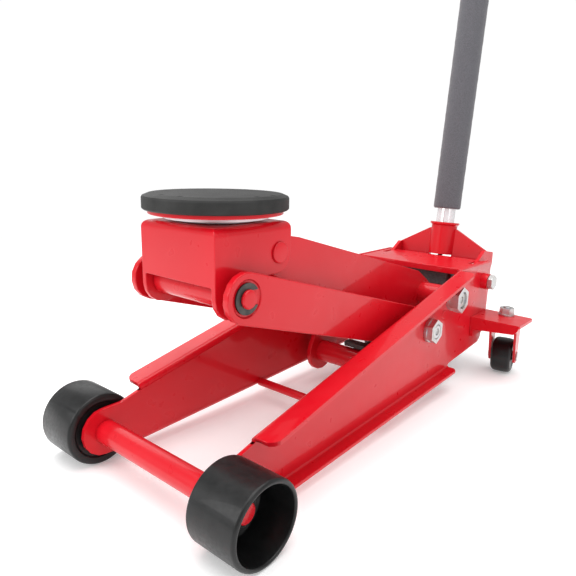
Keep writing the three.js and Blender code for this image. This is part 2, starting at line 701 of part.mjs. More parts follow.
// ---------------------------------------------------------------- parallel link
function link() {
  const front = LINK_FRONT_PIVOT;
  const rear = LINK_REAR_PIVOT;
  const length = Math.hypot(front.x - rear.x, front.z - rear.z);
  const slope = Math.atan2(front.z - rear.z, front.x - rear.x);
  const at = (distance) => rear.x + distance;
  const profile = outline([
    [at(length + 17), rear.z - 17, 16.8],
    [at(length + 17), rear.z + 17, 16.8],
    [at(length - 40), rear.z + 24, 20],
    [at(28), rear.z + 32, 16],
    [at(-26), rear.z + 18, 18],
    [at(-26), rear.z - 22, 20],
    [at(60), rear.z - 30, 30],
    [at(length - 60), rear.z - 38, 40],
  ]);
  const whole = sidePrism(profile, -LINK_HALF, LINK_HALF);
  const inner = LINK_HALF - LINK_THICKNESS;
  const hollow = sidePrism(outline([
    [at(length + 30), rear.z - 60],
    [at(length + 30), rear.z + 24 - LINK_THICKNESS],
    [at(length - 40), rear.z + 24 - LINK_THICKNESS],
    [at(28), rear.z + 32 - LINK_THICKNESS],
    [at(-40), rear.z + 20],
    [at(-40), rear.z - 60],
  ]), -inner, inner);
  const frontNotch = block(at(length - 48), at(length + 30), -inner, inner, rear.z, rear.z + 60);
  const rearNotch = block(at(-40), at(20), -inner, inner, rear.z, rear.z + 60);
  const hub = pinY(18, LINK_HALF - 1, FRAME_INNER - RUNNING, rear);
  const channel = cut(
    joined(whole, hub, mirrored(hub)),
    hollow,
    frontNotch,
    rearNotch,
    pinY(LINK_PIN_RADIUS + RUNNING, -LINK_HALF - 1, LINK_HALF + 1, { x: at(length), z: rear.z }),
    pinY(LINK_SHAFT_RADIUS + RUNNING, -FRAME_HALF, FRAME_HALF, rear),
  );
  return turnedUp(channel, slope, rear);
}

// ---------------------------------------------------------------- saddle head
const LINK_PIN_RADIUS = 9;
const SADDLE_STEM_RADIUS = 17;

function saddleBracket() {
  const top = HEAD_TOP_Z;
  const bend = 9;
  const pivot = ARM_FRONT_PIVOT;
  const frontHem = pivot.z - 26;
  const rearHem = LINK_FRONT_PIVOT.z - 23;
  const below = frontHem - 19;
  const lug = HEAD_FRONT_REACH - 0.5;
  const section = outline([
    [-HEAD_HALF, below],
    [-HEAD_HALF, top, bend],
    [HEAD_HALF, top, bend],
    [HEAD_HALF, below],
  ]);
  const profile = outline([
    [HEAD_FRONT_X, frontHem, lug],
    [HEAD_FRONT_X, top, 7],
    [HEAD_REAR_X, top, 5],
    [HEAD_REAR_X, rearHem, 20],
    [pivot.x - 40, rearHem, 8],
    [pivot.x - HEAD_FRONT_REACH, frontHem, lug],
  ]);
  const inner = HEAD_HALF - HEAD_THICKNESS;
  const shell = crossPrism(section, HEAD_REAR_X - 1, HEAD_FRONT_X + 1)
    .intersect(sidePrism(profile, -HEAD_HALF - 1, HEAD_HALF + 1));
  const inside = block(
    HEAD_REAR_X - 2, HEAD_FRONT_X - HEAD_THICKNESS, -inner, inner, below - 10, top - HEAD_THICKNESS,
  );
  const mouth = block(
    HEAD_FRONT_X - 20, HEAD_FRONT_X + 2, -inner, inner, below - 10, pivot.z + 10,
  );
  return cut(
    shell,
    inside,
    mouth,
    pinY(HEAD_PIN_RADIUS + RUNNING, -HEAD_HALF - 1, HEAD_HALF + 1, ARM_FRONT_PIVOT),
    pinY(LINK_PIN_RADIUS + FIT, -HEAD_HALF - 1, HEAD_HALF + 1, LINK_FRONT_PIVOT),
    pinZ(SADDLE_STEM_RADIUS + RUNNING, top - 20, top + 1, SADDLE_X, 0),
  );
}

// Bush round the head pin between the bracket's two ears.
function headBush() {
  const half = HEAD_HALF - HEAD_THICKNESS - FIT;
  const inner = HEAD_PIN_RADIUS + RUNNING;
  return turnedY([
    [inner, -half],
    [inner + 5, -half],
    [inner + 5, half],
    [inner, half],
    [inner, -half],
  ], ARM_FRONT_PIVOT);
}

function linkPin() {
  const tip = HEAD_HALF + 3;
  const head = HEAD_HALF + FIT;
  return turnedY([
    [0, -tip],
    [11.5, -tip],
    [12, -tip + 0.5],
    [12, -head],
    [LINK_PIN_RADIUS, -head],
    [LINK_PIN_RADIUS, head],
    [12, head],
    [12, tip - 0.5],
    [11.5, tip],
    [0, tip],
  ], LINK_FRONT_PIVOT);
}

const RING_BASE = HEAD_TOP_Z + RUNNING;
const RING_THICKNESS = 7;
const PLATE_BASE = RING_BASE + RING_THICKNESS + FIT;
const SADDLE_PLATE_THICKNESS = 4;
const PAD_BASE = PLATE_BASE + SADDLE_PLATE_THICKNESS + FIT;

function saddleRing() {
  const inner = SADDLE_STEM_RADIUS + RUNNING;
  return turnedZ([
    [inner, RING_BASE],
    [44, RING_BASE],
    [44, RING_BASE + 2],
    [58, RING_BASE + 3],
    [58, RING_BASE + RING_THICKNESS],
    [inner, RING_BASE + RING_THICKNESS],
    [inner, RING_BASE],
  ], SADDLE_X, 0, FINE);
}

function saddlePlate() {
  return turnedZ([
    [0, HEAD_TOP_Z - 18],
    [SADDLE_STEM_RADIUS - 1, HEAD_TOP_Z - 18],
    [SADDLE_STEM_RADIUS, HEAD_TOP_Z - 17],
    [SADDLE_STEM_RADIUS, PLATE_BASE],
    [SADDLE_RADIUS - 6, PLATE_BASE],
    [SADDLE_RADIUS - 6, PLATE_BASE + SADDLE_PLATE_THICKNESS],
    [0, PLATE_BASE + SADDLE_PLATE_THICKNESS],
  ], SADDLE_X, 0, FINE);
}

function saddlePad() {
  const top = PAD_BASE + PAD_THICKNESS;
  return turnedZ([
    [0, PAD_BASE],
    [SADDLE_RADIUS - 1.5, PAD_BASE],
    [SADDLE_RADIUS, PAD_BASE + 1.5],
    [SADDLE_RADIUS, top - 4],
    [SADDLE_RADIUS - 1.5, top - 2.2],
    [SADDLE_RADIUS - 8, top],
    [0, top],
  ], SADDLE_X, 0, FINE);
}

// ---------------------------------------------------------------- front wheels
function frontWheel() {
  const outer = TRACK_WIDTH / 2;
  const inner = outer - WHEEL_WIDTH;
  const floor = inner + 18;
  const hub = FRAME_HALF + AXLE_OVERHANG - 7;
  const bore = AXLE_JOURNAL_RADIUS + FIT;
  return turnedY([
    [bore, inner],
    [WHEEL_RADIUS - 3, inner],
    [WHEEL_RADIUS - 0.9, inner + 0.9],
    [WHEEL_RADIUS, inner + 3],
    [WHEEL_RADIUS, outer - 3],
    [WHEEL_RADIUS - 0.9, outer - 0.9],
    [WHEEL_RADIUS - 3, outer],
    [WHEEL_RADIUS - 5, outer],
    [WHEEL_RADIUS - 6.5, outer - 2],
    [WHEEL_RADIUS - 9.5, floor + 3],
    [WHEEL_RADIUS - 12.5, floor],
    [19, floor],
    [17.5, hub],
    [bore, hub],
    [bore, inner],
  ], { x: 0, z: WHEEL_RADIUS }, FINE + 6);
}

// ---------------------------------------------------------------- casters
const BRACKET_FRONT = -572;

function casterBracket() {
  const top = CASTER_PLATE_Z;
  const web = FRAME_HALF + FIT;
  const outer = FRAME_HALF + BRACKET_REACH;
  const plan = outline([
    [-640, web],
    [BRACKET_FRONT, web],
    [BRACKET_FRONT, outer, 3],
    [-636, outer, 5],
  ]);
  const front = crossPrism(outline([
    [web, top - 22],
    [web, top - 1],
    [outer - 2, top - 1],
    [outer - 2, top - 8, 3],
    [outer - 8, top - 16, 6],
  ]), BRACKET_FRONT - 5, BRACKET_FRONT);
  const foot = block(-636, BRACKET_FRONT - 1, web, web + 5, top - 34, top - 2);
  return cut(
    joined(flatPrism(plan, top - 5, top), front, foot),
    pinZ(CASTER_BOLT_RADIUS + FIT, top - 6, top + 1, CASTER_PIVOT.x, CASTER_PIVOT.y),
  );
}

const CASTER_BOLT_RADIUS = 6;
const FORK_TOP = CASTER_PLATE_Z - 5 - RUNNING;
const FORK_INNER = CASTER_WIDTH / 2 + 2;
const FORK_LEG = 4;
const CASTER_AXLE_RADIUS = 5;

// A caster part is built over its own pivot, then yawed and moved to the bracket.
function atCaster(body) {
  const geometry = geometryOf(body);
  geometry.rotateZ(CASTER_YAW);
  geometry.translate(CASTER_PIVOT.x, CASTER_PIVOT.y, 0);
  return solid(geometry);
}

function casterFork() {
  const half = FORK_INNER + FORK_LEG;
  const crown = block(-20, 20, -half, half, FORK_TOP - 4, FORK_TOP);
  const leg = sidePrism(outline([
    [-20, FORK_TOP],
    [20, FORK_TOP],
    [18, FORK_TOP - 20, 10],
    [-CASTER_TRAIL + 11, CASTER_RADIUS - 11, 10],
    [-CASTER_TRAIL - 11, CASTER_RADIUS - 11, 10],
    [-24, FORK_TOP - 30, 12],
  ]), FORK_INNER, half);
  const axle = { x: -CASTER_TRAIL, z: CASTER_RADIUS };
  return atCaster(cut(
    joined(crown, leg, mirrored(leg)),
    pinY(CASTER_AXLE_RADIUS + FIT, -half - 1, half + 1, axle, COARSE),
    pinZ(CASTER_BOLT_RADIUS + FIT, FORK_TOP - 5, FORK_TOP + 1, 0, 0),
  ));
}

function casterWheel() {
  const half = CASTER_WIDTH / 2;
  return atCaster(turnedY([
    [CASTER_AXLE_RADIUS + RUNNING, -half],
    [CASTER_RADIUS - 4, -half],
    [CASTER_RADIUS - 1, -half + 3],
    [CASTER_RADIUS, -half + 8],
    [CASTER_RADIUS, half - 8],
    [CASTER_RADIUS - 1, half - 3],
    [CASTER_RADIUS - 4, half],
    [CASTER_AXLE_RADIUS + RUNNING, half],
    [CASTER_AXLE_RADIUS + RUNNING, -half],
  ], { x: -CASTER_TRAIL, z: CASTER_RADIUS }, FINE));
}

function casterAxle() {
  const half = FORK_INNER + FORK_LEG;
  return atCaster(turnedY([
    [0, -half - 2],
    [8, -half - 2],
    [8, -half - FIT],
    [CASTER_AXLE_RADIUS, -half - FIT],
    [CASTER_AXLE_RADIUS, half + FIT],
    [8, half + FIT],
    [8, half + 2],
    [0, half + 2],
  ], { x: -CASTER_TRAIL, z: CASTER_RADIUS }, COARSE));
}

// Bolt from under the fork crown, up through the bracket.
function casterBolt() {
  return atCaster(joined(
    pinZ(CASTER_BOLT_RADIUS, FORK_TOP - 9, CASTER_PLATE_Z + 15, 0, 0, COARSE),
    hexZ(19, FORK_TOP - 11, FORK_TOP - 4 - FIT, 0, 0),
  ));
}

function casterNut() {
  const base = CASTER_PLATE_Z + FIT;
  return atCaster(cut(
    joined(pinZ(13, base, base + 2.5, 0, 0), hexZ(21, base + 2, base + 13, 0, 0)),
    pinZ(CASTER_BOLT_RADIUS + FIT, base - 1, base + 14, 0, 0, COARSE),
  ));
}

// ---------------------------------------------------------------- handle
const SOCKET = { radius: HANDLE_TUBE_RADIUS + 7, bore: HANDLE_TUBE_RADIUS + RUNNING, height: 58 };
const YOKE_ROLLER = { x: -642, z: 171 };
const YOKE_PIN_RADIUS = 5;
const YOKE_ROLLER_RADIUS = 9;
const EAR_THICKNESS = 6;
const SCREW_RADIUS = 4;
const SCREW_RISE = 40;              // socket screw above the handle foot

// A handle part is built upright over the handle foot, then leaned back.
function leaned(body) {
  return turnedUp(body, HANDLE_LEAN, HANDLE_FOOT);
}

function yoke() {
  const foot = HANDLE_FOOT;
  const face = leaned(crossPrism(outline([
    [-YOKE_HALF, foot.z - 8],
    [-YOKE_HALF, foot.z + 14, 3],
    [-25, foot.z + 47, 10],
    [25, foot.z + 47, 10],
    [YOKE_HALF, foot.z + 14, 3],
    [YOKE_HALF, foot.z - 8],
  ]), foot.x - 3, foot.x + 3));
  const socket = leaned(turnedZ([
    [SOCKET.bore, foot.z],
    [SOCKET.radius, foot.z],
    [SOCKET.radius, foot.z + SOCKET.height - 6],
    [SOCKET.radius + 3, foot.z + SOCKET.height - 3],
    [SOCKET.radius + 3, foot.z + SOCKET.height],
    [SOCKET.bore, foot.z + SOCKET.height],
    [SOCKET.bore, foot.z],
  ], foot.x, 0));
  const ear = sidePrism(outline([
    [YOKE_PIVOT.x + 19, YOKE_PIVOT.z - 19, 18],
    [YOKE_PIVOT.x + 19, YOKE_PIVOT.z + 16, 16],
    [foot.x + 8, foot.z + 16, 4],
    [foot.x - 30, foot.z + 10, 4],
    [foot.x - 30, foot.z - 14, 12],
    [YOKE_ROLLER.x - 14, YOKE_ROLLER.z - 16, 12],
    [YOKE_PIVOT.x - 12, YOKE_PIVOT.z - 19, 12],
  ]), YOKE_HALF - EAR_THICKNESS, YOKE_HALF);
  const throat = leaned(pinZ(SOCKET.radius - 1, foot.z - 20, foot.z + 100, foot.x, 0));
  return cut(
    joined(cut(joined(face, ear, mirrored(ear)), throat), socket),
    pinY(YOKE_BOLT_RADIUS + RUNNING, -YOKE_HALF - 1, YOKE_HALF + 1, YOKE_PIVOT),
    pinY(YOKE_PIN_RADIUS + FIT, -YOKE_HALF - 1, YOKE_HALF + 1, YOKE_ROLLER, COARSE),
    leaned(pinX(SCREW_RADIUS + FIT, foot.x - 40, foot.x, 0, foot.z + SCREW_RISE, COARSE)),
  );
}

// Cross pin with the roller that presses the pump plunger.
function yokeRoller() {
  const tip = YOKE_HALF - 1;
  return turnedY([
    [0, -tip],
    [YOKE_PIN_RADIUS, -tip],
    [YOKE_PIN_RADIUS, PUMP.y - 13],
    [YOKE_ROLLER_RADIUS, PUMP.y - 13],
    [YOKE_ROLLER_RADIUS, PUMP.y + 13],
    [YOKE_PIN_RADIUS, PUMP.y + 13],
    [YOKE_PIN_RADIUS, tip],
    [0, tip],
  ], YOKE_ROLLER, COARSE);
}

// Shoulder bolt on which one ear of the yoke turns.
function yokeBolt() {
  const inner = YOKE_HALF - EAR_THICKNESS - RUNNING;
  return joined(
    turnedY([
      [0, inner - 7],
      [13, inner - 7],
      [13, inner],
      [YOKE_BOLT_RADIUS, inner],
      [YOKE_BOLT_RADIUS, FRAME_HALF + 12],
      [0, FRAME_HALF + 12],
    ], YOKE_PIVOT),
    hexY(22, FRAME_HALF + 11.6, FRAME_HALF + 20, YOKE_PIVOT),
  );
}

// Knob screw at the back of the socket that holds the handle in.
function socketScrew() {
  const x = HANDLE_FOOT.x;
  const z = HANDLE_FOOT.z + SCREW_RISE;
  return leaned(joined(
    pinX(SCREW_RADIUS, x - 34, x - HANDLE_TUBE_RADIUS + 1, 0, z, COARSE),
    pinX(10, x - 42, x - 33, 0, z, COARSE),
  ));
}

// Knuckle rod from the handle's foot to the yoke's pivot line, over the release valve.
function releaseRod() {
  const top = HANDLE_FOOT;
  const length = Math.hypot(top.x - YOKE_PIVOT.x, top.z - YOKE_PIVOT.z);
  const knuckle = new THREE.SphereGeometry(KNUCKLE_RADIUS, COARSE, 8);
  knuckle.translate(top.x + length, 0, top.z);
  const rod = joined(pinX(4, top.x, top.x + length, 0, top.z, COARSE), solid(knuckle));
  return turnedUp(rod, Math.atan2(YOKE_PIVOT.z - top.z, YOKE_PIVOT.x - top.x), top);
}

const HANDLE_BOTTOM = HANDLE_FOOT.z + 8;
const SLEEVE_BOTTOM = HANDLE_FOOT.z + SOCKET.height + 25;
const SLEEVE_TOP = SLEEVE_BOTTOM + SLEEVE_LENGTH;
const JOINT_Z = SLEEVE_TOP + 60;
const HANDLE_TOP = JOINT_Z + UPPER_TUBE_LENGTH;
const TUBE_WALL = 2.5;
const BUTTON_Z = JOINT_Z - 25;
const BUTTON_RADIUS = 4;

function lowerTube() {
  const outer = HANDLE_TUBE_RADIUS;
  const bore = outer - TUBE_WALL;
  const groove = HANDLE_FOOT.z + SCREW_RISE;
  const tube = turnedZ([
    [bore, HANDLE_BOTTOM],
    [outer, HANDLE_BOTTOM],
    [outer, groove - 5],
    [outer - 1.5, groove - 5],
    [outer - 1.5, groove + 5],
    [outer, groove + 5],
    [outer, JOINT_Z],
    [bore, JOINT_Z],
    [bore, HANDLE_BOTTOM],
  ], HANDLE_FOOT.x, 0);
  const front = HANDLE_FOOT.x + outer;
  return leaned(cut(tube, pinX(BUTTON_RADIUS + FIT, front - 8, front + 1, 0, BUTTON_Z, COARSE)));
}

function foamSleeve() {
  const inner = HANDLE_TUBE_RADIUS + FIT;
  const outer = HANDLE_TUBE_RADIUS + 8.3;
  return leaned(turnedZ([
    [inner, SLEEVE_BOTTOM],
    [outer - 2, SLEEVE_BOTTOM],
    [outer, SLEEVE_BOTTOM + 2],
    [outer, SLEEVE_TOP - 2],
    [outer - 2, SLEEVE_TOP],
    [inner, SLEEVE_TOP],
    [inner, SLEEVE_BOTTOM],
  ], HANDLE_FOOT.x, 0));
}

// The upper tube's reduced spigot slides into the lower tube.
function upperTube() {
  const outer = HANDLE_TUBE_RADIUS;
  const spigot = outer - TUBE_WALL - FIT;
  const bore = spigot - TUBE_WALL;
  return leaned(turnedZ([
    [bore, JOINT_Z - 60],
    [spigot, JOINT_Z - 60],
    [spigot, JOINT_Z + FIT],
    [outer, JOINT_Z + FIT],
    [outer, HANDLE_TOP - 3],
    [bore, HANDLE_TOP - 3],
    [bore, JOINT_Z - 60],
  ], HANDLE_FOOT.x, 0));
}

// Spring button that locks the two tubes together.
function jointButton() {
  const seat = HANDLE_FOOT.x + HANDLE_TUBE_RADIUS - TUBE_WALL;
  return leaned(pinX(BUTTON_RADIUS, seat, seat + 5, 0, BUTTON_Z, COARSE));
}

function handGrip() {
  const inner = HANDLE_TUBE_RADIUS + FIT;
  const outer = HANDLE_TUBE_RADIUS + 4;
  const bottom = HANDLE_TOP - GRIP_LENGTH;
  return leaned(turnedZ([
    [inner, bottom],
    [outer + 1, bottom],
    [outer + 1, bottom + 6],
    [outer, bottom + 8],
    [outer, HANDLE_TOP - 2],
    [outer - 3, HANDLE_TOP + 1],
    [0, HANDLE_TOP + 1],
    [0, HANDLE_TOP - 3 + FIT],
    [inner, HANDLE_TOP - 3 + FIT],
    [inner, bottom],
  ], HANDLE_FOOT.x, 0));
}

// ---------------------------------------------------------------- assembly
const group = new THREE.Group();
group.name = "trolley_jack";

function addPart(name, body, material) {
  const geometry = geometryOf(body);
  geometry.computeVertexNormals();
  const mesh = new THREE.Mesh(geometry, material);
  mesh.name = name;
  group.add(mesh);
}

function addPair(name, body, material) {
  addPart(`${name}_left`, body, material);
  addPart(`${name}_right`, mirrored(body), material);
}

addPair("side_plate", sidePlate(), RED);
addPart("front_axle", frontAxle(), RED);
addPair("axle_retainer", axleRetainer(), DARK_STEEL);
addPart("tie_rod", tieRod(), RED);
addPair("arm_pivot_bolt", armPivotBolt(), ZINC);
addPair("arm_pivot_nut", pivotNut(ARM_REAR_PIVOT, ARM_BOLT_RADIUS, 32, 18, 13), ZINC);
addPart("link_shaft", linkShaft(), ZINC);
addPair("link_nut", pivotNut(LINK_REAR_PIVOT, LINK_SHAFT_RADIUS, 36, 19, 19), ZINC);
addPart("cover_plate", coverPlate(), RED);

addPart("pump_block", pumpBlock(), CAST);
addPart("pump_barrel", pumpBarrel(), DARK_STEEL);
addPart("pump_plunger", pumpPlunger(), CHROME);
addPart("release_valve", releaseValve(), ZINC);
addPart("filler_plug", fillerPlug(), BLACK_RUBBER);
addPart("ram_cylinder", ramCylinder(), CAST);
addPart("ram_rod", ramRod(), DARK_STEEL);

addPair("arm_plate", armPlate(), RED);
addPart("lobe_tube", lobeTube(), RED);
addPart("head_pin", headPin(), RED);
addPair("head_pin_clip", headPinClip(), DARK_STEEL);
addPart("link_channel", link(), RED);

addPart("saddle_bracket", saddleBracket(), RED);
addPart("head_bush", headBush(), RED);
addPart("link_pin", linkPin(), RED);
addPart("saddle_ring", saddleRing(), WHITE_PLASTIC);
addPart("saddle_plate", saddlePlate(), RED);
addPart("saddle_pad", saddlePad(), BLACK_RUBBER);

addPair("front_wheel", frontWheel(), BLACK_NYLON);
addPair("caster_bracket", casterBracket(), RED);
addPair("caster_fork", casterFork(), RED);
addPair("caster_wheel", casterWheel(), BLACK_NYLON);
addPair("caster_axle", casterAxle(), ZINC);
addPair("caster_bolt", casterBolt(), ZINC);
addPair("caster_nut", casterNut(), ZINC);

addPart("handle_yoke", yoke(), RED);
addPart("yoke_roller", yokeRoller(), DARK_STEEL);
addPair("yoke_bolt", yokeBolt(), ZINC);
addPart("socket_screw", socketScrew(), DARK_STEEL);
addPart("release_rod", releaseRod(), DARK_STEEL);
addPart("handle_lower_tube", lowerTube(), CHROME);
addPart("foam_sleeve", foamSleeve(), GREY_FOAM);
addPart("handle_upper_tube", upperTube(), CHROME);
addPart("joint_button", jointButton(), ZINC);
addPart("hand_grip", handGrip(), BLACK_RUBBER);

// The origin of the finished jack is the middle of its footprint, on the ground.
const bounds = new THREE.Box3().setFromObject(group);
const middle = bounds.getCenter(new THREE.Vector3());
for (const mesh of group.children) {
  mesh.geometry.translate(-middle.x, -middle.y, -bounds.min.z);
}

export default group;
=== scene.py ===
# %% [markdown]
# # A red hydraulic trolley jack
# The jack's measured frame is loaded first: every steel part stands at its real place in metres.
# Around it we make the surfaces that the eye sees. Plates are copied from the frame and get
# rounded edges, because pressed steel never ends in a knife edge. Everything round is turned
# again with many more facets, as on a lathe.

# %% Load the frame
import json
import math

import bpy
from mathutils import Matrix, Vector


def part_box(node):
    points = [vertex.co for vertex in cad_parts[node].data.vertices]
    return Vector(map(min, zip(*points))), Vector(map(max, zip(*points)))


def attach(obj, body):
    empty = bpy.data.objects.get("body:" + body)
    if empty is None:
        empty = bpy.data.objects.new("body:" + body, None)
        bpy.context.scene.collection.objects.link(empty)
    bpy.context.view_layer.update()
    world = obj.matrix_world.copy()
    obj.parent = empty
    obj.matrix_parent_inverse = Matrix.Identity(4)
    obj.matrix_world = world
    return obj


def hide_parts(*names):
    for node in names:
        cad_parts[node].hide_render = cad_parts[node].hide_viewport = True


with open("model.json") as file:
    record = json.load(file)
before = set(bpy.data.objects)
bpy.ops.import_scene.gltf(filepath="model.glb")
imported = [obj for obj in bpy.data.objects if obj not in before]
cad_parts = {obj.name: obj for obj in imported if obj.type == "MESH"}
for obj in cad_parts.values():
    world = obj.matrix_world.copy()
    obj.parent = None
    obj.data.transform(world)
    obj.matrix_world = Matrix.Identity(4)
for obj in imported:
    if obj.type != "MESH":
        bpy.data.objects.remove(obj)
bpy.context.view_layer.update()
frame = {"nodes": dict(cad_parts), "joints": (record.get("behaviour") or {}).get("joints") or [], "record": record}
nodes = frame["nodes"]
record = frame["record"]
print("frame loaded:", len(nodes), "nodes")

# %% [markdown]
# ## Who moves with whom
# The record lists the nodes of each moving body, and the finish of each node. A finished piece
# takes both from the node that it stands for, so we look them up once.

# %% Body and slot of every node
BODY_OF = {
    node: body
    for body, members in record["behaviour"]["bodies"].items()
    for node in members
}
SLOT_OF = {entry["node"]: entry["material_slot"] for entry in record["subparts"]}
JOINTS = {joint["name"]: joint for joint in frame["joints"]}
MM = 0.001
print("bodies:", len(set(BODY_OF.values())), "slots:", len(set(SLOT_OF.values())))

# %% [markdown]
# ## A shader bench
# All finishes are made the same way: one Principled shader, whose colour, roughness and bump come
# from small patterns on Object coordinates. Those coordinates are in metres, so a pattern's scale
# says how many waves fit in a metre. Three short helpers add the nodes that every finish needs.

# %% Helpers for shader nodes
def new_finish(name, **sockets):
    """A material with one Principled shader whose constant sockets are set directly."""
    material = bpy.data.materials.new(name)
    material.use_nodes = True
    shader = material.node_tree.nodes["Principled BSDF"]
    for socket, value in sockets.items():
        shader.inputs[socket.replace("_", " ")].default_value = value
    return material, shader


def pattern(material, kind, scale, **settings):
    """A texture node on the piece's own coordinates; returns the node."""
    tree = material.node_tree
    place = tree.nodes.get("Texture Coordinate") or tree.nodes.new("ShaderNodeTexCoord")
    texture = tree.nodes.new(kind)
    texture.inputs["Scale"].default_value = scale
    for socket, value in settings.items():
        texture.inputs[socket.replace("_", " ")].default_value = value
    tree.links.new(place.outputs["Object"], texture.inputs["Vector"])
    return texture


def ramp(material, source, stops):
    """A colour ramp from (position, value) stops; a value is a grey or an RGB triple."""
    tree = material.node_tree
    node = tree.nodes.new("ShaderNodeValToRGB")
    elements = node.color_ramp.elements
    while len(elements) < len(stops):
        elements.new(0.5)
    for element, (position, value) in zip(elements, stops):
        element.position = position
        rgb = value if isinstance(value, tuple) else (value, value, value)
        element.color = (*rgb, 1.0)
    tree.links.new(source, node.inputs["Fac"])
    return node.outputs["Color"]


def bumps(material, shader, layers):
    """Chains bump nodes; each layer is (height output, strength, height in metres)."""
    tree = material.node_tree
    normal = None
    for height, strength, distance in layers:
        node = tree.nodes.new("ShaderNodeBump")
        node.inputs["Strength"].default_value = strength
        node.inputs["Distance"].default_value = distance
        tree.links.new(height, node.inputs["Height"])
        if normal is not None:
            tree.links.new(normal, node.inputs["Normal"])
        normal = node.outputs["Normal"]
    tree.links.new(normal, shader.inputs["Normal"])
    return normal


def link(material, source, shader, socket):
    material.node_tree.links.new(source, shader.inputs[socket])


# %% [markdown]
# ## Red enamel
# The steel is sprayed with a glossy red enamel and baked. Sprayed paint is never quite even: the
# red drifts a little where the coat is thicker, and the surface has a fine ripple that painters
# call orange peel. A clear coat over the colour gives the sharp white reflections.

# %% Red enamel
RED_THIN = (0.66, 0.007, 0.018)
RED_THICK = (0.54, 0.003, 0.009)


def make_red_enamel():
    material, shader = new_finish(
        "red_enamel", Coat_Weight=0.34, Coat_Roughness=0.05, Specular_IOR_Level=0.2)
    drift = pattern(material, "ShaderNodeTexNoise", 9.0, Detail=1.0)
    link(material, ramp(material, drift.outputs["Fac"], [(0.0, RED_THICK), (1.0, RED_THIN)]),
         shader, "Base Color")
    haze = pattern(material, "ShaderNodeTexNoise", 60.0, Detail=1.0)
    link(material, ramp(material, haze.outputs["Fac"], [(0.0, 0.20), (1.0, 0.44)]),
         shader, "Roughness")
    peel = pattern(material, "ShaderNodeTexNoise", 110.0, Detail=0.0)
    normal = bumps(material, shader, [(peel.outputs["Fac"], 0.08, 0.0002)])
    link(material, normal, shader, "Coat Normal")
    return material


# %% [markdown]
# ## Bare and plated metals
# Nuts are zinc plated: a cool grey with faint yellow and blue patches and a slightly crystalline
# surface. The handle tube is bright chrome with a few hairline scratches that run round it; part of
# its brightness is a near-white colour under a half-metal shader, a painted reflection of the white
# surround. Pins and clips are blackened steel, and the power unit is cast iron under silver paint,
# drawn here in dark grey as painted shade, with its sand hollows darker still as painted shade.

# %% Metals
def make_zinc():
    material, shader = new_finish("zinc_plate", Metallic=0.9)
    cloud = pattern(material, "ShaderNodeTexNoise", 90.0, Detail=4.0)
    tint = [(0.3, (0.46, 0.45, 0.43)), (0.5, (0.60, 0.59, 0.58)), (0.7, (0.52, 0.55, 0.60))]
    link(material, ramp(material, cloud.outputs["Fac"], tint), shader, "Base Color")
    grain = pattern(material, "ShaderNodeTexNoise", 700.0, Detail=3.0)
    link(material, ramp(material, grain.outputs["Fac"], [(0.2, 0.26), (0.8, 0.44)]),
         shader, "Roughness")
    bumps(material, shader, [(grain.outputs["Fac"], 0.18, 0.0002)])
    return material


def make_chrome_painted_reflection():
    # Only half metal, over a near-white colour: this diffuse white stands in for the reflection of the white
    # surround, a painted reflection.
    material, shader = new_finish("chrome_with_painted_reflection", Metallic=0.55)
    film = pattern(material, "ShaderNodeTexNoise", 30.0, Detail=3.0)
    tint = [(0.3, (0.93, 0.93, 0.95)), (0.7, (0.97, 0.97, 0.98))]
    link(material, ramp(material, film.outputs["Fac"], tint), shader, "Base Color")
    hairline = pattern(
        material, "ShaderNodeTexWave", 260.0, Distortion=3.0, Detail=3.0, Detail_Scale=2.0)
    hairline.bands_direction = "Z"
    link(material, ramp(material, hairline.outputs["Color"], [(0.0, 0.10), (1.0, 0.19)]),
         shader, "Roughness")
    bumps(material, shader, [(hairline.outputs["Fac"], 0.05, 0.0001)])
    return material


def make_dark_steel():
    material, shader = new_finish("blackened_steel", Metallic=0.85)
    bloom = pattern(material, "ShaderNodeTexNoise", 120.0, Detail=5.0)
    tint = [(0.3, (0.035, 0.036, 0.038)), (0.75, (0.11, 0.108, 0.10))]
    link(material, ramp(material, bloom.outputs["Fac"], tint), shader, "Base Color")
    link(material, ramp(material, bloom.outputs["Fac"], [(0.2, 0.34), (0.8, 0.56)]),
         shader, "Roughness")
    grain = pattern(material, "ShaderNodeTexNoise", 900.0, Detail=2.0)
    bumps(material, shader, [(grain.outputs["Fac"], 0.2, 0.0002)])
    return material


def make_cast_iron_in_painted_shade():
    material, shader = new_finish("silver_casting_painted_shade", Metallic=0.55)
    sand = pattern(material, "ShaderNodeTexNoise", 260.0, Detail=6.0, Roughness=0.65)
    # Dark grey instead of silver: painted shade for a casting that sits in shade between the plates. Colour and
    # bump share the sand pattern, so the sand hollows are darker, which is painted shade too.
    tint = [(0.3, (0.10, 0.10, 0.105)), (0.7, (0.20, 0.20, 0.205))]
    link(material, ramp(material, sand.outputs["Fac"], tint), shader, "Base Color")
    link(material, ramp(material, sand.outputs["Fac"], [(0.2, 0.42), (0.8, 0.68)]),
         shader, "Roughness")
    pits = pattern(material, "ShaderNodeTexVoronoi", 500.0)
    bumps(material, shader, [
        (sand.outputs["Fac"], 0.5, 0.0006),
        (pits.outputs["Distance"], 0.2, 0.0002),
    ])
    return material


# %% [markdown]
# ## Rubber, nylon and foam
# The rollers are hard black nylon, nearly smooth, with a soft sheen and small scuffs from the
# floor. The saddle pad is moulded rubber, which is duller and a little lighter where it has been
# touched. The sleeve on the handle is closed-cell foam: dull grey, with cells too small to count
# but large enough to break up the light; the hollow of each cell is drawn darker, as painted shade.

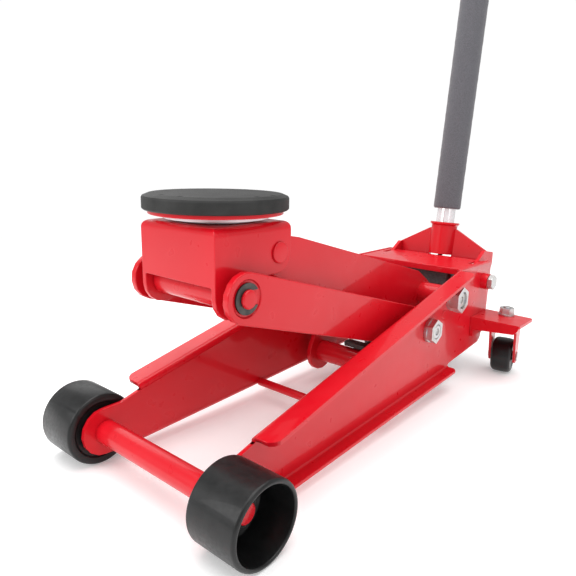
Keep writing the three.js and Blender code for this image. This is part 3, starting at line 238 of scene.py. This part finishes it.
# %% Rubber, nylon, foam and white plastic
def make_nylon():
    material, shader = new_finish("black_nylon", Specular_IOR_Level=0.3, Coat_Weight=0.08)
    cloud = pattern(material, "ShaderNodeTexNoise", 60.0, Detail=4.0)
    tint = [(0.3, (0.004, 0.0042, 0.0044)), (0.75, (0.010, 0.0103, 0.0106))]
    link(material, ramp(material, cloud.outputs["Fac"], tint), shader, "Base Color")
    scuff = pattern(material, "ShaderNodeTexNoise", 240.0, Detail=6.0, Roughness=0.7)
    link(material, ramp(material, scuff.outputs["Fac"], [(0.3, 0.28), (0.7, 0.50)]),
         shader, "Roughness")
    bumps(material, shader, [
        (scuff.outputs["Fac"], 0.12, 0.0003),
        (cloud.outputs["Fac"], 0.08, 0.0010),
    ])
    return material


def make_rubber():
    material, shader = new_finish("moulded_rubber", Specular_IOR_Level=0.3)
    bloom = pattern(material, "ShaderNodeTexNoise", 45.0, Detail=5.0)
    tint = [(0.3, (0.012, 0.012, 0.0115)), (0.75, (0.028, 0.028, 0.027))]
    link(material, ramp(material, bloom.outputs["Fac"], tint), shader, "Base Color")
    grain = pattern(material, "ShaderNodeTexNoise", 1100.0, Detail=3.0)
    link(material, ramp(material, grain.outputs["Fac"], [(0.2, 0.46), (0.8, 0.66)]),
         shader, "Roughness")
    bumps(material, shader, [(grain.outputs["Fac"], 0.28, 0.0003)])
    return material


def make_foam_with_painted_pit_shade():
    material, shader = new_finish(
        "grey_foam", Sheen_Weight=0.25, Sheen_Roughness=0.5, Specular_IOR_Level=0.2)
    cells = pattern(material, "ShaderNodeTexVoronoi", 850.0, Randomness=1.0)
    # Colour and bump share the cell pattern: each cell's hollow is darker grey, which is painted shade in the
    # pits.
    tint = [(0.1, (0.060, 0.060, 0.066)), (0.6, (0.118, 0.117, 0.130))]
    link(material, ramp(material, cells.outputs["Distance"], tint), shader, "Base Color")
    dents = pattern(material, "ShaderNodeTexNoise", 160.0, Detail=4.0)
    link(material, ramp(material, dents.outputs["Fac"], [(0.3, 0.78), (0.7, 0.95)]),
         shader, "Roughness")
    bumps(material, shader, [
        (cells.outputs["Distance"], 0.55, 0.0004),
        (dents.outputs["Fac"], 0.20, 0.0008),
    ])
    return material


def make_white_plastic():
    material, shader = new_finish("white_nylon", Specular_IOR_Level=0.5)
    cloud = pattern(material, "ShaderNodeTexNoise", 70.0, Detail=3.0)
    tint = [(0.3, (0.66, 0.65, 0.68)), (0.7, (0.80, 0.79, 0.82))]
    link(material, ramp(material, cloud.outputs["Fac"], tint), shader, "Base Color")
    link(material, ramp(material, cloud.outputs["Fac"], [(0.2, 0.30), (0.8, 0.45)]),
         shader, "Roughness")
    grain = pattern(material, "ShaderNodeTexNoise", 600.0)
    bumps(material, shader, [(grain.outputs["Fac"], 0.10, 0.0002)])
    return material


FINISHES = {
    "red_paint": make_red_enamel(),
    "zinc": make_zinc(),
    "chrome": make_chrome_painted_reflection(),
    "dark_steel": make_dark_steel(),
    "cast": make_cast_iron_in_painted_shade(),
    "black_nylon": make_nylon(),
    "black_rubber": make_rubber(),
    "grey_foam": make_foam_with_painted_pit_shade(),
    "white_plastic": make_white_plastic(),
}
print("finishes:", ", ".join(FINISHES))

# %% [markdown]
# ## Two ways to make a piece
# A pressed or cast part starts as a copy of its node. Its loose triangles are merged, its flats are
# cleaned, and a bevel rounds every corner, so that each edge catches a thin line of light.
# A turned part starts as one point. Extruding the point step by step draws half of its section,
# and Spin turns that section round its axis, just as a lathe does.
#
# A bevel has one danger: beside a very short edge, a wide round folds the flat over itself, and the
# fold renders black. So each width is tried first, and made smaller until nothing folds. The long
# side plates are treated differently: only their long edges are rounded, which are the ones seen.

# %% Helpers that make pieces
WELD = 0.01 * MM            # points closer than this are one point
PRESSED_CORNER = 35         # degrees; a sharper edge of a pressed piece is rounded
TURNED_CORNER = 28          # degrees; the same for a turned piece
LONG_EDGE = 12 * MM
WIDTH_SHARES = (1.0, 0.7, 0.5, 0.35, 0.25)
LARGEST_FOLD = 1 * MM * MM
LONG_EDGED = ("side_plate_left", "side_plate_right")


def choose(*pieces):
    """Selects only these pieces; the first one is active."""
    bpy.ops.object.select_all(action="DESELECT")
    for piece in pieces:
        piece.select_set(True)
    bpy.context.view_layer.objects.active = pieces[0]


def overlap_of(mesh):
    """How much area the faces of a mesh cover twice, in square metres."""
    mesh.calc_loop_triangles()
    covered = sum(triangle.area for triangle in mesh.loop_triangles)
    return covered - sum(face.area for face in mesh.polygons)


def apply_bevel(piece, width, segments, angle):
    """Rounds the edges sharper than angle as widely as no face folds, then shades the piece."""
    choose(piece)
    bevel = piece.modifiers.new("round_edges", "BEVEL")
    bevel.segments = segments
    bevel.limit_method = "ANGLE"
    bevel.angle_limit = math.radians(angle)
    bevel.miter_outer = "MITER_ARC"
    bevel.use_clamp_overlap = False
    for share in WIDTH_SHARES:
        bevel.width = width * share
        tried = piece.evaluated_get(bpy.context.evaluated_depsgraph_get())
        fold = overlap_of(tried.to_mesh())
        tried.to_mesh_clear()
        if fold < LARGEST_FOLD:
            break
    else:
        bevel.width = width
        bevel.use_clamp_overlap = True
    bpy.ops.object.modifier_apply(modifier=bevel.name)
    shade(piece)


def shade(piece):
    """Smooth over rounds and barrels, flat on flats."""
    bpy.ops.object.shade_smooth_by_angle(angle=math.radians(50))
    level = piece.modifiers.new("keep_flats_flat", "WEIGHTED_NORMAL")
    level.mode = "FACE_AREA"
    level.weight = 60
    level.keep_sharp = True
    bpy.ops.object.modifier_apply(modifier=level.name)


def stand_for(piece, node):
    """The piece takes its node's place, body, slot and finish."""
    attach(piece, BODY_OF[node])
    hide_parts(node)
    piece.data.materials.clear()
    piece.data.materials.append(FINISHES[SLOT_OF[node]])
    return piece


def round_long_edges(piece, width):
    """Rounds only the long sharp edges, such as the sides of a flange."""
    choose(piece)
    bpy.ops.object.mode_set(mode="EDIT")
    bpy.ops.mesh.select_mode(type="EDGE")
    bpy.ops.mesh.select_all(action="DESELECT")
    bpy.ops.mesh.edges_select_sharp(sharpness=math.radians(PRESSED_CORNER))
    bpy.ops.object.mode_set(mode="OBJECT")
    corners = piece.data.vertices
    for edge in piece.data.edges:
        first, second = (corners[index].co for index in edge.vertices)
        edge.select = edge.select and (first - second).length > LONG_EDGE
    bpy.ops.object.mode_set(mode="EDIT")
    bpy.ops.mesh.bevel(offset=width, segments=2, clamp_overlap=False)
    bpy.ops.mesh.select_mode(type="VERT")
    bpy.ops.object.mode_set(mode="OBJECT")


def pressed(node, width):
    """A copy of a node with its triangles merged and its edges rounded."""
    piece = bpy.data.objects.new(f"{node}_finished", nodes[node].data.copy())
    bpy.context.scene.collection.objects.link(piece)
    choose(piece)
    bpy.ops.mesh.customdata_custom_splitnormals_clear()
    bpy.ops.object.mode_set(mode="EDIT")
    bpy.ops.mesh.select_all(action="SELECT")
    bpy.ops.mesh.remove_doubles(threshold=WELD)
    bpy.ops.mesh.dissolve_limited(angle_limit=math.radians(0.5))
    bpy.ops.object.mode_set(mode="OBJECT")
    if node in LONG_EDGED:
        round_long_edges(piece, width)
        shade(piece)
    else:
        apply_bevel(piece, width, 2, PRESSED_CORNER)
    return stand_for(piece, node)


def span(node, origin, axis):
    """Where a node starts and ends along an axis, and its largest radius, in metres."""
    points = [vertex.co - origin for vertex in nodes[node].data.vertices]
    along = [point.dot(axis) for point in points]
    radii = [(point - axis * point.dot(axis)).length for point in points]
    return min(along), max(along), max(radii)


def turned(name, section, origin, axis, width=0.6 * MM, segments=2, steps=96):
    """Draws a section of (radius, distance along the axis) points and spins it once round."""
    side = axis.orthogonal().normalized()
    points = [origin + axis * along + side * radius for radius, along in section]
    bpy.ops.object.select_all(action="DESELECT")
    bpy.ops.mesh.primitive_plane_add(size=MM, location=points[0])
    piece = bpy.context.active_object
    piece.name = name
    bpy.ops.object.transform_apply(location=True, rotation=True, scale=True)
    bpy.ops.object.mode_set(mode="EDIT")
    bpy.ops.mesh.select_mode(type="VERT")
    bpy.ops.mesh.select_all(action="SELECT")
    bpy.ops.mesh.merge(type="CENTER")
    for start, end in zip(points, points[1:]):
        bpy.ops.mesh.extrude_region_move(TRANSFORM_OT_translate={"value": end - start})
    bpy.ops.mesh.select_all(action="SELECT")
    bpy.ops.mesh.remove_doubles(threshold=WELD)
    bpy.ops.mesh.spin(steps=steps, angle=2 * math.pi, center=origin, axis=axis)
    bpy.ops.mesh.select_all(action="SELECT")
    bpy.ops.mesh.remove_doubles(threshold=WELD)
    bpy.ops.mesh.normals_make_consistent(inside=False)
    bpy.ops.object.mode_set(mode="OBJECT")
    apply_bevel(piece, width, segments, TURNED_CORNER)
    return piece


def in_mm(*section):
    """The same section, given in millimetres."""
    return [(radius * MM, along * MM) for radius, along in section]


def centre_of(node):
    low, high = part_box(node)
    return (low + high) / 2


Y_AXIS = Vector((0, 1, 0))
Z_AXIS = Vector((0, 0, 1))

# %% [markdown]
# ## The frame plates, arm and brackets
# These are pressed, cut or cast shapes, so they are copied and get their edges rounded. The width
# of the rounding follows the stock: 1 mm on the thick plates, less on small hardware, so that a
# nut still looks crisp.

# %% Pressed and cast pieces
PLATES = {
    "side_plate_left": 1.1, "side_plate_right": 1.1, "cover_plate": 1.0,
    "arm_plate_left": 1.3, "arm_plate_right": 1.3, "link_channel": 1.2,
    "saddle_bracket": 1.3, "handle_yoke": 1.2, "caster_bracket_left": 0.9,
    "caster_bracket_right": 0.9, "caster_fork_left": 0.7, "caster_fork_right": 0.7,
    "pump_block": 1.5, "ram_cylinder": 0.9, "ram_rod": 0.8,
}
HARDWARE = {
    "arm_pivot_nut_left": 0.7, "arm_pivot_nut_right": 0.7, "link_nut_left": 0.8,
    "link_nut_right": 0.8, "release_valve": 0.5, "filler_plug": 0.6,
    "head_pin_clip_left": 0.3, "head_pin_clip_right": 0.3, "caster_axle_left": 0.4,
    "caster_axle_right": 0.4, "caster_bolt_left": 0.4, "caster_bolt_right": 0.4,
    "caster_nut_left": 0.6, "caster_nut_right": 0.6, "yoke_bolt_left": 0.6,
    "yoke_bolt_right": 0.6, "socket_screw": 0.6, "release_rod": 0.5, "joint_button": 0.5,
}
for node, width in {**PLATES, **HARDWARE}.items():
    piece = pressed(node, width * MM)
    print(node, len(piece.data.polygons), "faces")

# %% [markdown]
# ## Front rollers
# Each front roller is a deep nylon cup on the axle: a thick tread with rounded shoulders, a thin
# lip, and a floor with a hub far inside. It is turned once for the left side and copied to the
# right, where the copy is flipped through the mid-plane and its faces are turned out again.

# %% Front rollers
def flipped(piece, name):
    """A copy on the other side of the mid-plane, with its own mesh."""
    choose(piece)
    bpy.ops.object.duplicate()
    twin = bpy.context.active_object
    twin.name = name
    bpy.ops.object.mode_set(mode="EDIT")
    bpy.ops.mesh.select_all(action="SELECT")
    bpy.ops.transform.resize(value=(1, -1, 1), center_override=(0, 0, 0))
    bpy.ops.mesh.normals_make_consistent(inside=False)
    bpy.ops.object.mode_set(mode="OBJECT")
    return twin


def front_roller():
    node = "front_wheel_left"
    centre = centre_of(node)
    centre.y = 0
    inner, outer, radius = (value / MM for value in span(node, centre, Y_AXIS))
    section = in_mm(
        (11.4, inner), (20, inner), (22, inner + 2), (33, inner + 2), (35, inner),
        (radius - 3, inner), (radius - 0.8, inner + 1), (radius, inner + 3.4),
        (radius, outer - 3.6), (radius - 0.8, outer - 1.2), (radius - 2.6, outer),
        (radius - 4.6, outer), (radius - 5.6, outer - 1.2), (radius - 9.2, inner + 22),
        (radius - 12.5, inner + 18), (20, inner + 18), (18.5, inner + 19.5),
        (17.5, inner + 30.5), (16.5, inner + 31.3), (11.4, inner + 31.3), (11.4, inner),
    )
    return turned("front_roller_left", section, centre, Y_AXIS, 0.9 * MM, 3)


roller = front_roller()
roller_twin = flipped(roller, "front_roller_right")
stand_for(roller, "front_wheel_left")
stand_for(roller_twin, "front_wheel_right")
print("rollers:", len(roller.data.polygons), "faces each")

# %% [markdown]
# ## Axle, tie rod and their end rings
# The axle is a red bar turned down at both ends for the rollers. A dark spring ring sits in a
# groove at each end and keeps the roller on. The tie rod is a plain bar across the frame.

# %% Axle, rings and tie rod
def round_bar(node, *section, width=0.5 * MM, steps=64):
    """A turned piece about the Y line through its node; section in millimetres."""
    centre = centre_of(node)
    centre.y = 0
    piece = turned(f"{node}_turned", in_mm(*section), centre, Y_AXIS, width, 2, steps)
    return stand_for(piece, node)


def both_ways(*half):
    """A section given for the +Y half only, completed on the other side."""
    return [(radius, -along) for radius, along in half[::-1]] + list(half)


round_bar("front_axle", *both_ways(
    (14, 94.2), (11, 94.2), (11, 133.5), (9.6, 133.5), (9.6, 136.1), (11, 136.1),
    (11, 138.3), (9.8, 139.5), (0, 139.5)), width=0.4 * MM)
round_bar("tie_rod", *both_ways((6, 94.2), (0, 94.2)))
ring = round_bar(
    "axle_retainer_left", (9.9, 133.8), (15.5, 133.8), (15.5, 135.8), (9.9, 135.8), (9.9, 133.8))
stand_for(flipped(ring, "axle_ring_right"), "axle_retainer_right")

# %% [markdown]
# ## Pins, bushes and tubes of the linkage
# The remaining round bars lie across the jack as well: the pins at both ends of the lifting head,
# the link's long rear shaft, the arm's two pivot bolts, the tube that the ram pulls on, and the
# cross pin with the roller that works the pump. Pins have ends that are domed a little. The bolts
# and the shaft show the small centre hole that a lathe leaves.

# %% Linkage pins and tubes
round_bar("head_pin", *both_ways(
    (10, 77.2), (8.6, 77.2), (8.6, 80.2), (10, 80.2), (10, 82.6), (8.6, 84.0), (5, 84.3),
    (0, 84.3)))
round_bar("link_pin", *both_ways(
    (9, 59.8), (12, 59.8), (12, 61.3), (10.8, 62.2), (6, 62.5), (0, 62.5)))
round_bar("link_shaft", *both_ways(
    (13, 114.8), (11.4, 116.3), (5.4, 116.5), (5, 114), (0, 111.4)), width=0.3 * MM)
bolt_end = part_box("arm_pivot_bolt_left")[1].y / MM
bolt_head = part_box("arm_pivot_bolt_left")[0].y / MM
bolt = round_bar(
    "arm_pivot_bolt_left", (0, bolt_head), (17, bolt_head), (17, bolt_head + 7.4),
    (11, bolt_head + 7.4), (11, bolt_end - 1.5), (9.5, bolt_end), (5.4, bolt_end),
    (5, bolt_end - 2.4), (0, bolt_end - 5), width=0.3 * MM)
stand_for(flipped(bolt, "arm_bolt_right"), "arm_pivot_bolt_right")
round_bar("lobe_tube", (12, -71), (17, -71), (17, 71), (12, 71), (12, -71))
round_bar("head_bush", (10.6, -53.2), (15.6, -53.2), (15.6, 53.2), (10.6, 53.2), (10.6, -53.2))
round_bar("yoke_roller", (0, -85), (4.6, -85), (5, -84.6), (5, 13), (9, 13), (9, 39), (5, 39),
          (5, 84.6), (4.6, 85), (0, 85))

# %% [markdown]
# ## The saddle
# The saddle is a stack on the lifting head: a pale bearing ring, a red steel plate that turns in
# the head, and the black rubber pad that meets the car. The pad's top is bevelled at the rim and
# has four pairs of small recesses near it, where its fixing rivets sit.

# %% Bearing ring, saddle plate and pad
def saddle_line():
    """A point on the saddle's turning line, at ground level."""
    centre = centre_of("saddle_pad")
    centre.z = 0
    return centre


def saddle_piece(node, *section, width=0.5 * MM, steps=128):
    piece = turned(f"{node}_turned", in_mm(*section), saddle_line(), Z_AXIS, width, 2, steps)
    return stand_for(piece, node)


saddle_piece("saddle_ring", (17.6, 294.6), (44, 294.6), (44, 296.6), (58, 297.6), (58, 301.6),
             (17.6, 301.6), (17.6, 294.6))
saddle_piece("saddle_plate", (0, 276), (16, 276), (17, 277), (17, 301.9), (73, 301.9),
             (73, 305.9), (0, 305.9))
pad = saddle_piece(
    "saddle_pad", (0, 306.2), (77.5, 306.2), (79, 307.7), (79, 318.6), (77.9, 320.6),
    (72.0, 323.0), (71, 323.2), (70.5, 323.2), (64.5, 323.2), (0, 323.2), width=0.2 * MM)


def sink_recesses(piece, ring_radius, depth, pairs):
    """Insets and pushes down the pad's ring faces that lie at the given angles."""
    centre = saddle_line()
    choose(piece)
    bpy.ops.object.mode_set(mode="EDIT")
    bpy.ops.mesh.select_all(action="DESELECT")
    bpy.ops.mesh.select_mode(type="FACE")
    bpy.ops.object.mode_set(mode="OBJECT")
    for face in piece.data.polygons:
        out = face.center - centre
        turn = math.degrees(math.atan2(out.y, out.x)) % 360
        near = min(abs((turn - angle + 180) % 360 - 180) for angle in pairs)
        on_ring = abs(math.hypot(out.x, out.y) - ring_radius) < 2.6 * MM
        face.select = on_ring and face.normal.z > 0.9 and near < 3
    count = sum(face.select for face in piece.data.polygons)
    bpy.ops.object.mode_set(mode="EDIT")
    bpy.ops.mesh.inset(thickness=0.4 * MM, depth=0)
    bpy.ops.mesh.extrude_region_move(TRANSFORM_OT_translate={"value": (0, 0, -depth)})
    bpy.ops.object.mode_set(mode="OBJECT")
    return count


RECESS_RING = 67.5 * MM
RECESS_DEPTH = 3 * MM
RECESS_TURNS = [quarter + step for quarter in (6, 96, 186, 276) for step in (-11, 11)]
print("pad recess faces:", sink_recesses(pad, RECESS_RING, RECESS_DEPTH, RECESS_TURNS))

# %% [markdown]
# ## Casters and pump
# The rear rollers are small nylon barrels, crowned so that they steer easily. The pump's barrel
# and plunger stand upright in the block. All of them are turned about the lines that their
# joints or nodes give.

# %% Caster rollers, pump barrel and plunger
def caster_roller(side, joint):
    node = f"caster_wheel_{side}"
    origin = Vector(JOINTS[joint]["pos_m"])
    axis = Vector(JOINTS[joint]["axis"]).normalized()
    start, end, radius = (value / MM for value in span(node, origin, axis))
    section = in_mm(
        (5.6, start), (8, start), (9, start + 1.2), (19, start + 1.2), (20.5, start),
        (radius - 4, start), (radius - 1.2, start + 2.6), (radius - 0.2, start + 7),
        (radius, (start + end) / 2), (radius - 0.2, end - 7), (radius - 1.2, end - 2.6),
        (radius - 4, end), (20.5, end), (19, end - 1.2), (9, end - 1.2), (8, end),
        (5.6, end), (5.6, start),
    )
    piece = turned(f"caster_roller_{side}", section, origin, axis, 0.7 * MM, 3)
    return stand_for(piece, node)


caster_roller("left", "caster_a_spin")
caster_roller("right", "caster_b_spin")


def pump_piece(node, *section):
    centre = centre_of(node)
    centre.z = 0
    piece = turned(f"{node}_turned", in_mm(*section), centre, Z_AXIS, 0.5 * MM, 2, 48)
    return stand_for(piece, node)


pump_piece("pump_barrel", (8, 62), (11, 62), (11, 118.3), (15, 118.3), (15, 128), (8, 128), (8, 62))
pump_piece("pump_plunger", (0, 97), (7.7, 97), (7.7, 159.7), (6.9, 161.2), (0, 161.7))

# %% [markdown]
# ## The handle
# The handle leans back from its socket along one line, which is the line that it twists about.
# A lower chromed tube carries a thick foam sleeve. An upper tube slides into it, is locked by a
# spring button, and ends in a ribbed rubber grip. Foam is soft: its ends are rounded and its long
# sides wander by a fraction of a millimetre.

# %% Handle line and tubes
FOOT = Vector(JOINTS["handle_twist"]["pos_m"])
UP_HANDLE = Vector(JOINTS["handle_twist"]["axis"]).normalized()


def handle_piece(node, make_section, width=0.5 * MM, steps=72):
    """Turns a handle piece; make_section gets where its node starts, ends and how wide it is."""
    start, end, radius = (value / MM for value in span(node, FOOT, UP_HANDLE))
    section = in_mm(*make_section(start, end, radius))
    piece = turned(f"{node}_turned", section, FOOT, UP_HANDLE, width, 2, steps)
    return stand_for(piece, node)


def lower_tube(start, end, radius):
    return [
        (13.5, start), (radius, start), (radius, 35), (14.5, 35), (14.5, 45), (radius, 45),
        (radius, end), (13.5, end), (13.5, start),
    ]


def upper_tube(start, end, radius):
    shoulder = start + 60.3
    return [
        (10.7, start), (13.2, start), (13.2, shoulder), (radius, shoulder),
        (radius, end), (10.7, end), (10.7, start),
    ]


def ribbed_grip(start, end, radius):
    """A flange at the bottom, a run of shallow ribs, and a rounded cap."""
    inner = 16.3
    body = radius - 1
    ribs = []
    for index in range(14):
        foot = start + 16 + index * 7
        ribs += [
            (body - 1.2, foot), (body, foot + 0.8), (body, foot + 3.6), (body - 1.2, foot + 4.4),
        ]
    cap = end - 3.7
    return [
        (inner, start), (radius, start), (radius, start + 5.5), (body, start + 8),
        *ribs, (body, end - 8), (body - 1.4, end - 2.6), (body - 4.5, end), (0, end),
        (0, cap), (inner, cap), (inner, start),
    ]


handle_piece("handle_lower_tube", lower_tube)
handle_piece("handle_upper_tube", upper_tube)
handle_piece("hand_grip", ribbed_grip, 0.4 * MM)
print("handle starts at", tuple(round(value, 4) for value in FOOT))

# %% [markdown]
# ## The foam sleeve
# The sleeve is turned with many rings along its length, so that a gentle displacement can make it
# wander like real foam. The displacement is small and inward only, and the sleeve never leaves
# the space that its node holds.

# %% Foam sleeve
def foam_section(start, end, radius):
    inner = 16.3
    rings = 60
    shoulder = 3.0
    body = [
        (radius - 0.35 + 0.22 * math.sin(2.1 * index) * math.cos(0.7 * index),
         start + shoulder + (end - start - 2 * shoulder) * index / rings)
        for index in range(rings + 1)
    ]
    return [
        (inner, start), (radius - 3.0, start), (radius - 1.3, start + 0.9), *body,
        (radius - 1.3, end - 0.9), (radius - 3.0, end), (inner, end), (inner, start),
    ]


sleeve = handle_piece("foam_sleeve", foam_section, 0.8 * MM)
print("foam sleeve:", len(sleeve.data.polygons), "faces")

# %% [markdown]
# ## Floor, light and camera
# A studio for a glossy red thing is mostly white. The floor is pale and glows a little, so that
# shadows stay light. The surround looks white from the camera but lights the paint less than that,
# so that the red keeps its depth. A wide lamp hangs over the jack, one stands in front of it, and
# a weak one on each side gives the bent edges a line of light.

# %% Floor and surround
FLOOR_SIZE = 3.8
FLOOR_GLOW = 0.22
SURROUND_LIGHT = 0.62
SURROUND_SEEN = 1.02


def make_floor():
    bpy.ops.object.select_all(action="DESELECT")
    bpy.ops.mesh.primitive_plane_add(size=FLOOR_SIZE, location=(0, 0, 0))
    floor = bpy.context.active_object
    floor.name = "studio_floor"
    material, shader = new_finish(
        "pale_floor", Specular_IOR_Level=0.15, Emission_Strength=FLOOR_GLOW,
        Emission_Color=(1.0, 1.0, 1.0, 1.0))
    cloud = pattern(material, "ShaderNodeTexNoise", 3.0, Detail=2.0)
    tint = [(0.3, (0.88, 0.88, 0.88)), (0.7, (0.91, 0.91, 0.91))]
    link(material, ramp(material, cloud.outputs["Fac"], tint), shader, "Base Color")
    link(material, ramp(material, cloud.outputs["Fac"], [(0.2, 0.55), (0.8, 0.65)]),
         shader, "Roughness")
    floor.data.materials.append(material)


make_floor()
world = bpy.data.worlds.new("studio_surround")
bpy.context.scene.world = world
world.use_nodes = True
surround = world.node_tree.nodes["Background"]
surround.inputs["Color"].default_value = (1.0, 1.0, 1.0, 1.0)
light_path = world.node_tree.nodes.new("ShaderNodeLightPath")
strength = world.node_tree.nodes.new("ShaderNodeMapRange")
strength.inputs["To Min"].default_value = SURROUND_LIGHT
strength.inputs["To Max"].default_value = SURROUND_SEEN
world.node_tree.links.new(light_path.outputs["Is Camera Ray"], strength.inputs["Value"])
world.node_tree.links.new(strength.outputs["Result"], surround.inputs["Strength"])

# %% Lamps
def softbox(name, place, aim, width, height, power):
    """A rectangular lamp at a place, facing a point."""
    bpy.ops.object.select_all(action="DESELECT")
    bpy.ops.object.light_add(type="AREA", location=place)
    lamp = bpy.context.active_object
    lamp.name = name
    lamp.data.shape = "RECTANGLE"
    lamp.data.size = width
    lamp.data.size_y = height
    lamp.data.energy = power
    away = Vector(place) - Vector(aim)
    lamp.rotation_euler = away.to_track_quat("Z", "Y").to_euler()


JACK_MIDDLE = (0.0, 0.0, 0.2)
softbox("lamp_over", (0.2, 0.1, 2.4), JACK_MIDDLE, 2.6, 2.6, 60)
softbox("lamp_near_side", (0.3, 2.4, 1.0), JACK_MIDDLE, 1.6, 1.2, 9)
softbox("lamp_front", (2.4, -0.9, 1.3), JACK_MIDDLE, 1.4, 1.4, 26)
softbox("lamp_far_side", (-0.4, -2.2, 1.5), JACK_MIDDLE, 1.6, 1.2, 8)
scene = bpy.context.scene
scene.view_settings.view_transform = "Standard"
scene.view_settings.look = "None"

# %% [markdown]
# ## Camera
# The camera looks down a little on the near front corner of the jack, with a slight roll. Its
# matrix is built from the direction that it looks back along, and from its own right and up.

# %% Camera
CAMERA_PLACE = Vector((0.69339, 0.45951, 0.36556))
CAMERA_TURN = math.radians(130.511)
CAMERA_TILT = math.radians(13.405)
CAMERA_ROLL = math.radians(1.123)
LENS = 35.27


def place_camera():
    bpy.ops.object.select_all(action="DESELECT")
    bpy.ops.object.camera_add(location=CAMERA_PLACE)
    camera = bpy.context.active_object
    back = Vector((
        math.sin(CAMERA_TURN) * math.cos(CAMERA_TILT),
        -math.cos(CAMERA_TURN) * math.cos(CAMERA_TILT),
        math.sin(CAMERA_TILT),
    ))
    right = Z_AXIS.cross(back).normalized()
    up = back.cross(right)
    rolled_right = right * math.cos(CAMERA_ROLL) + up * math.sin(CAMERA_ROLL)
    rolled_up = up * math.cos(CAMERA_ROLL) - right * math.sin(CAMERA_ROLL)
    turn = Matrix((rolled_right, rolled_up, back)).transposed().to_4x4()
    camera.matrix_world = Matrix.Translation(CAMERA_PLACE) @ turn
    camera.data.sensor_width = 36
    camera.data.lens = LENS
    camera.data.clip_start = 0.01
    bpy.context.scene.camera = camera


place_camera()
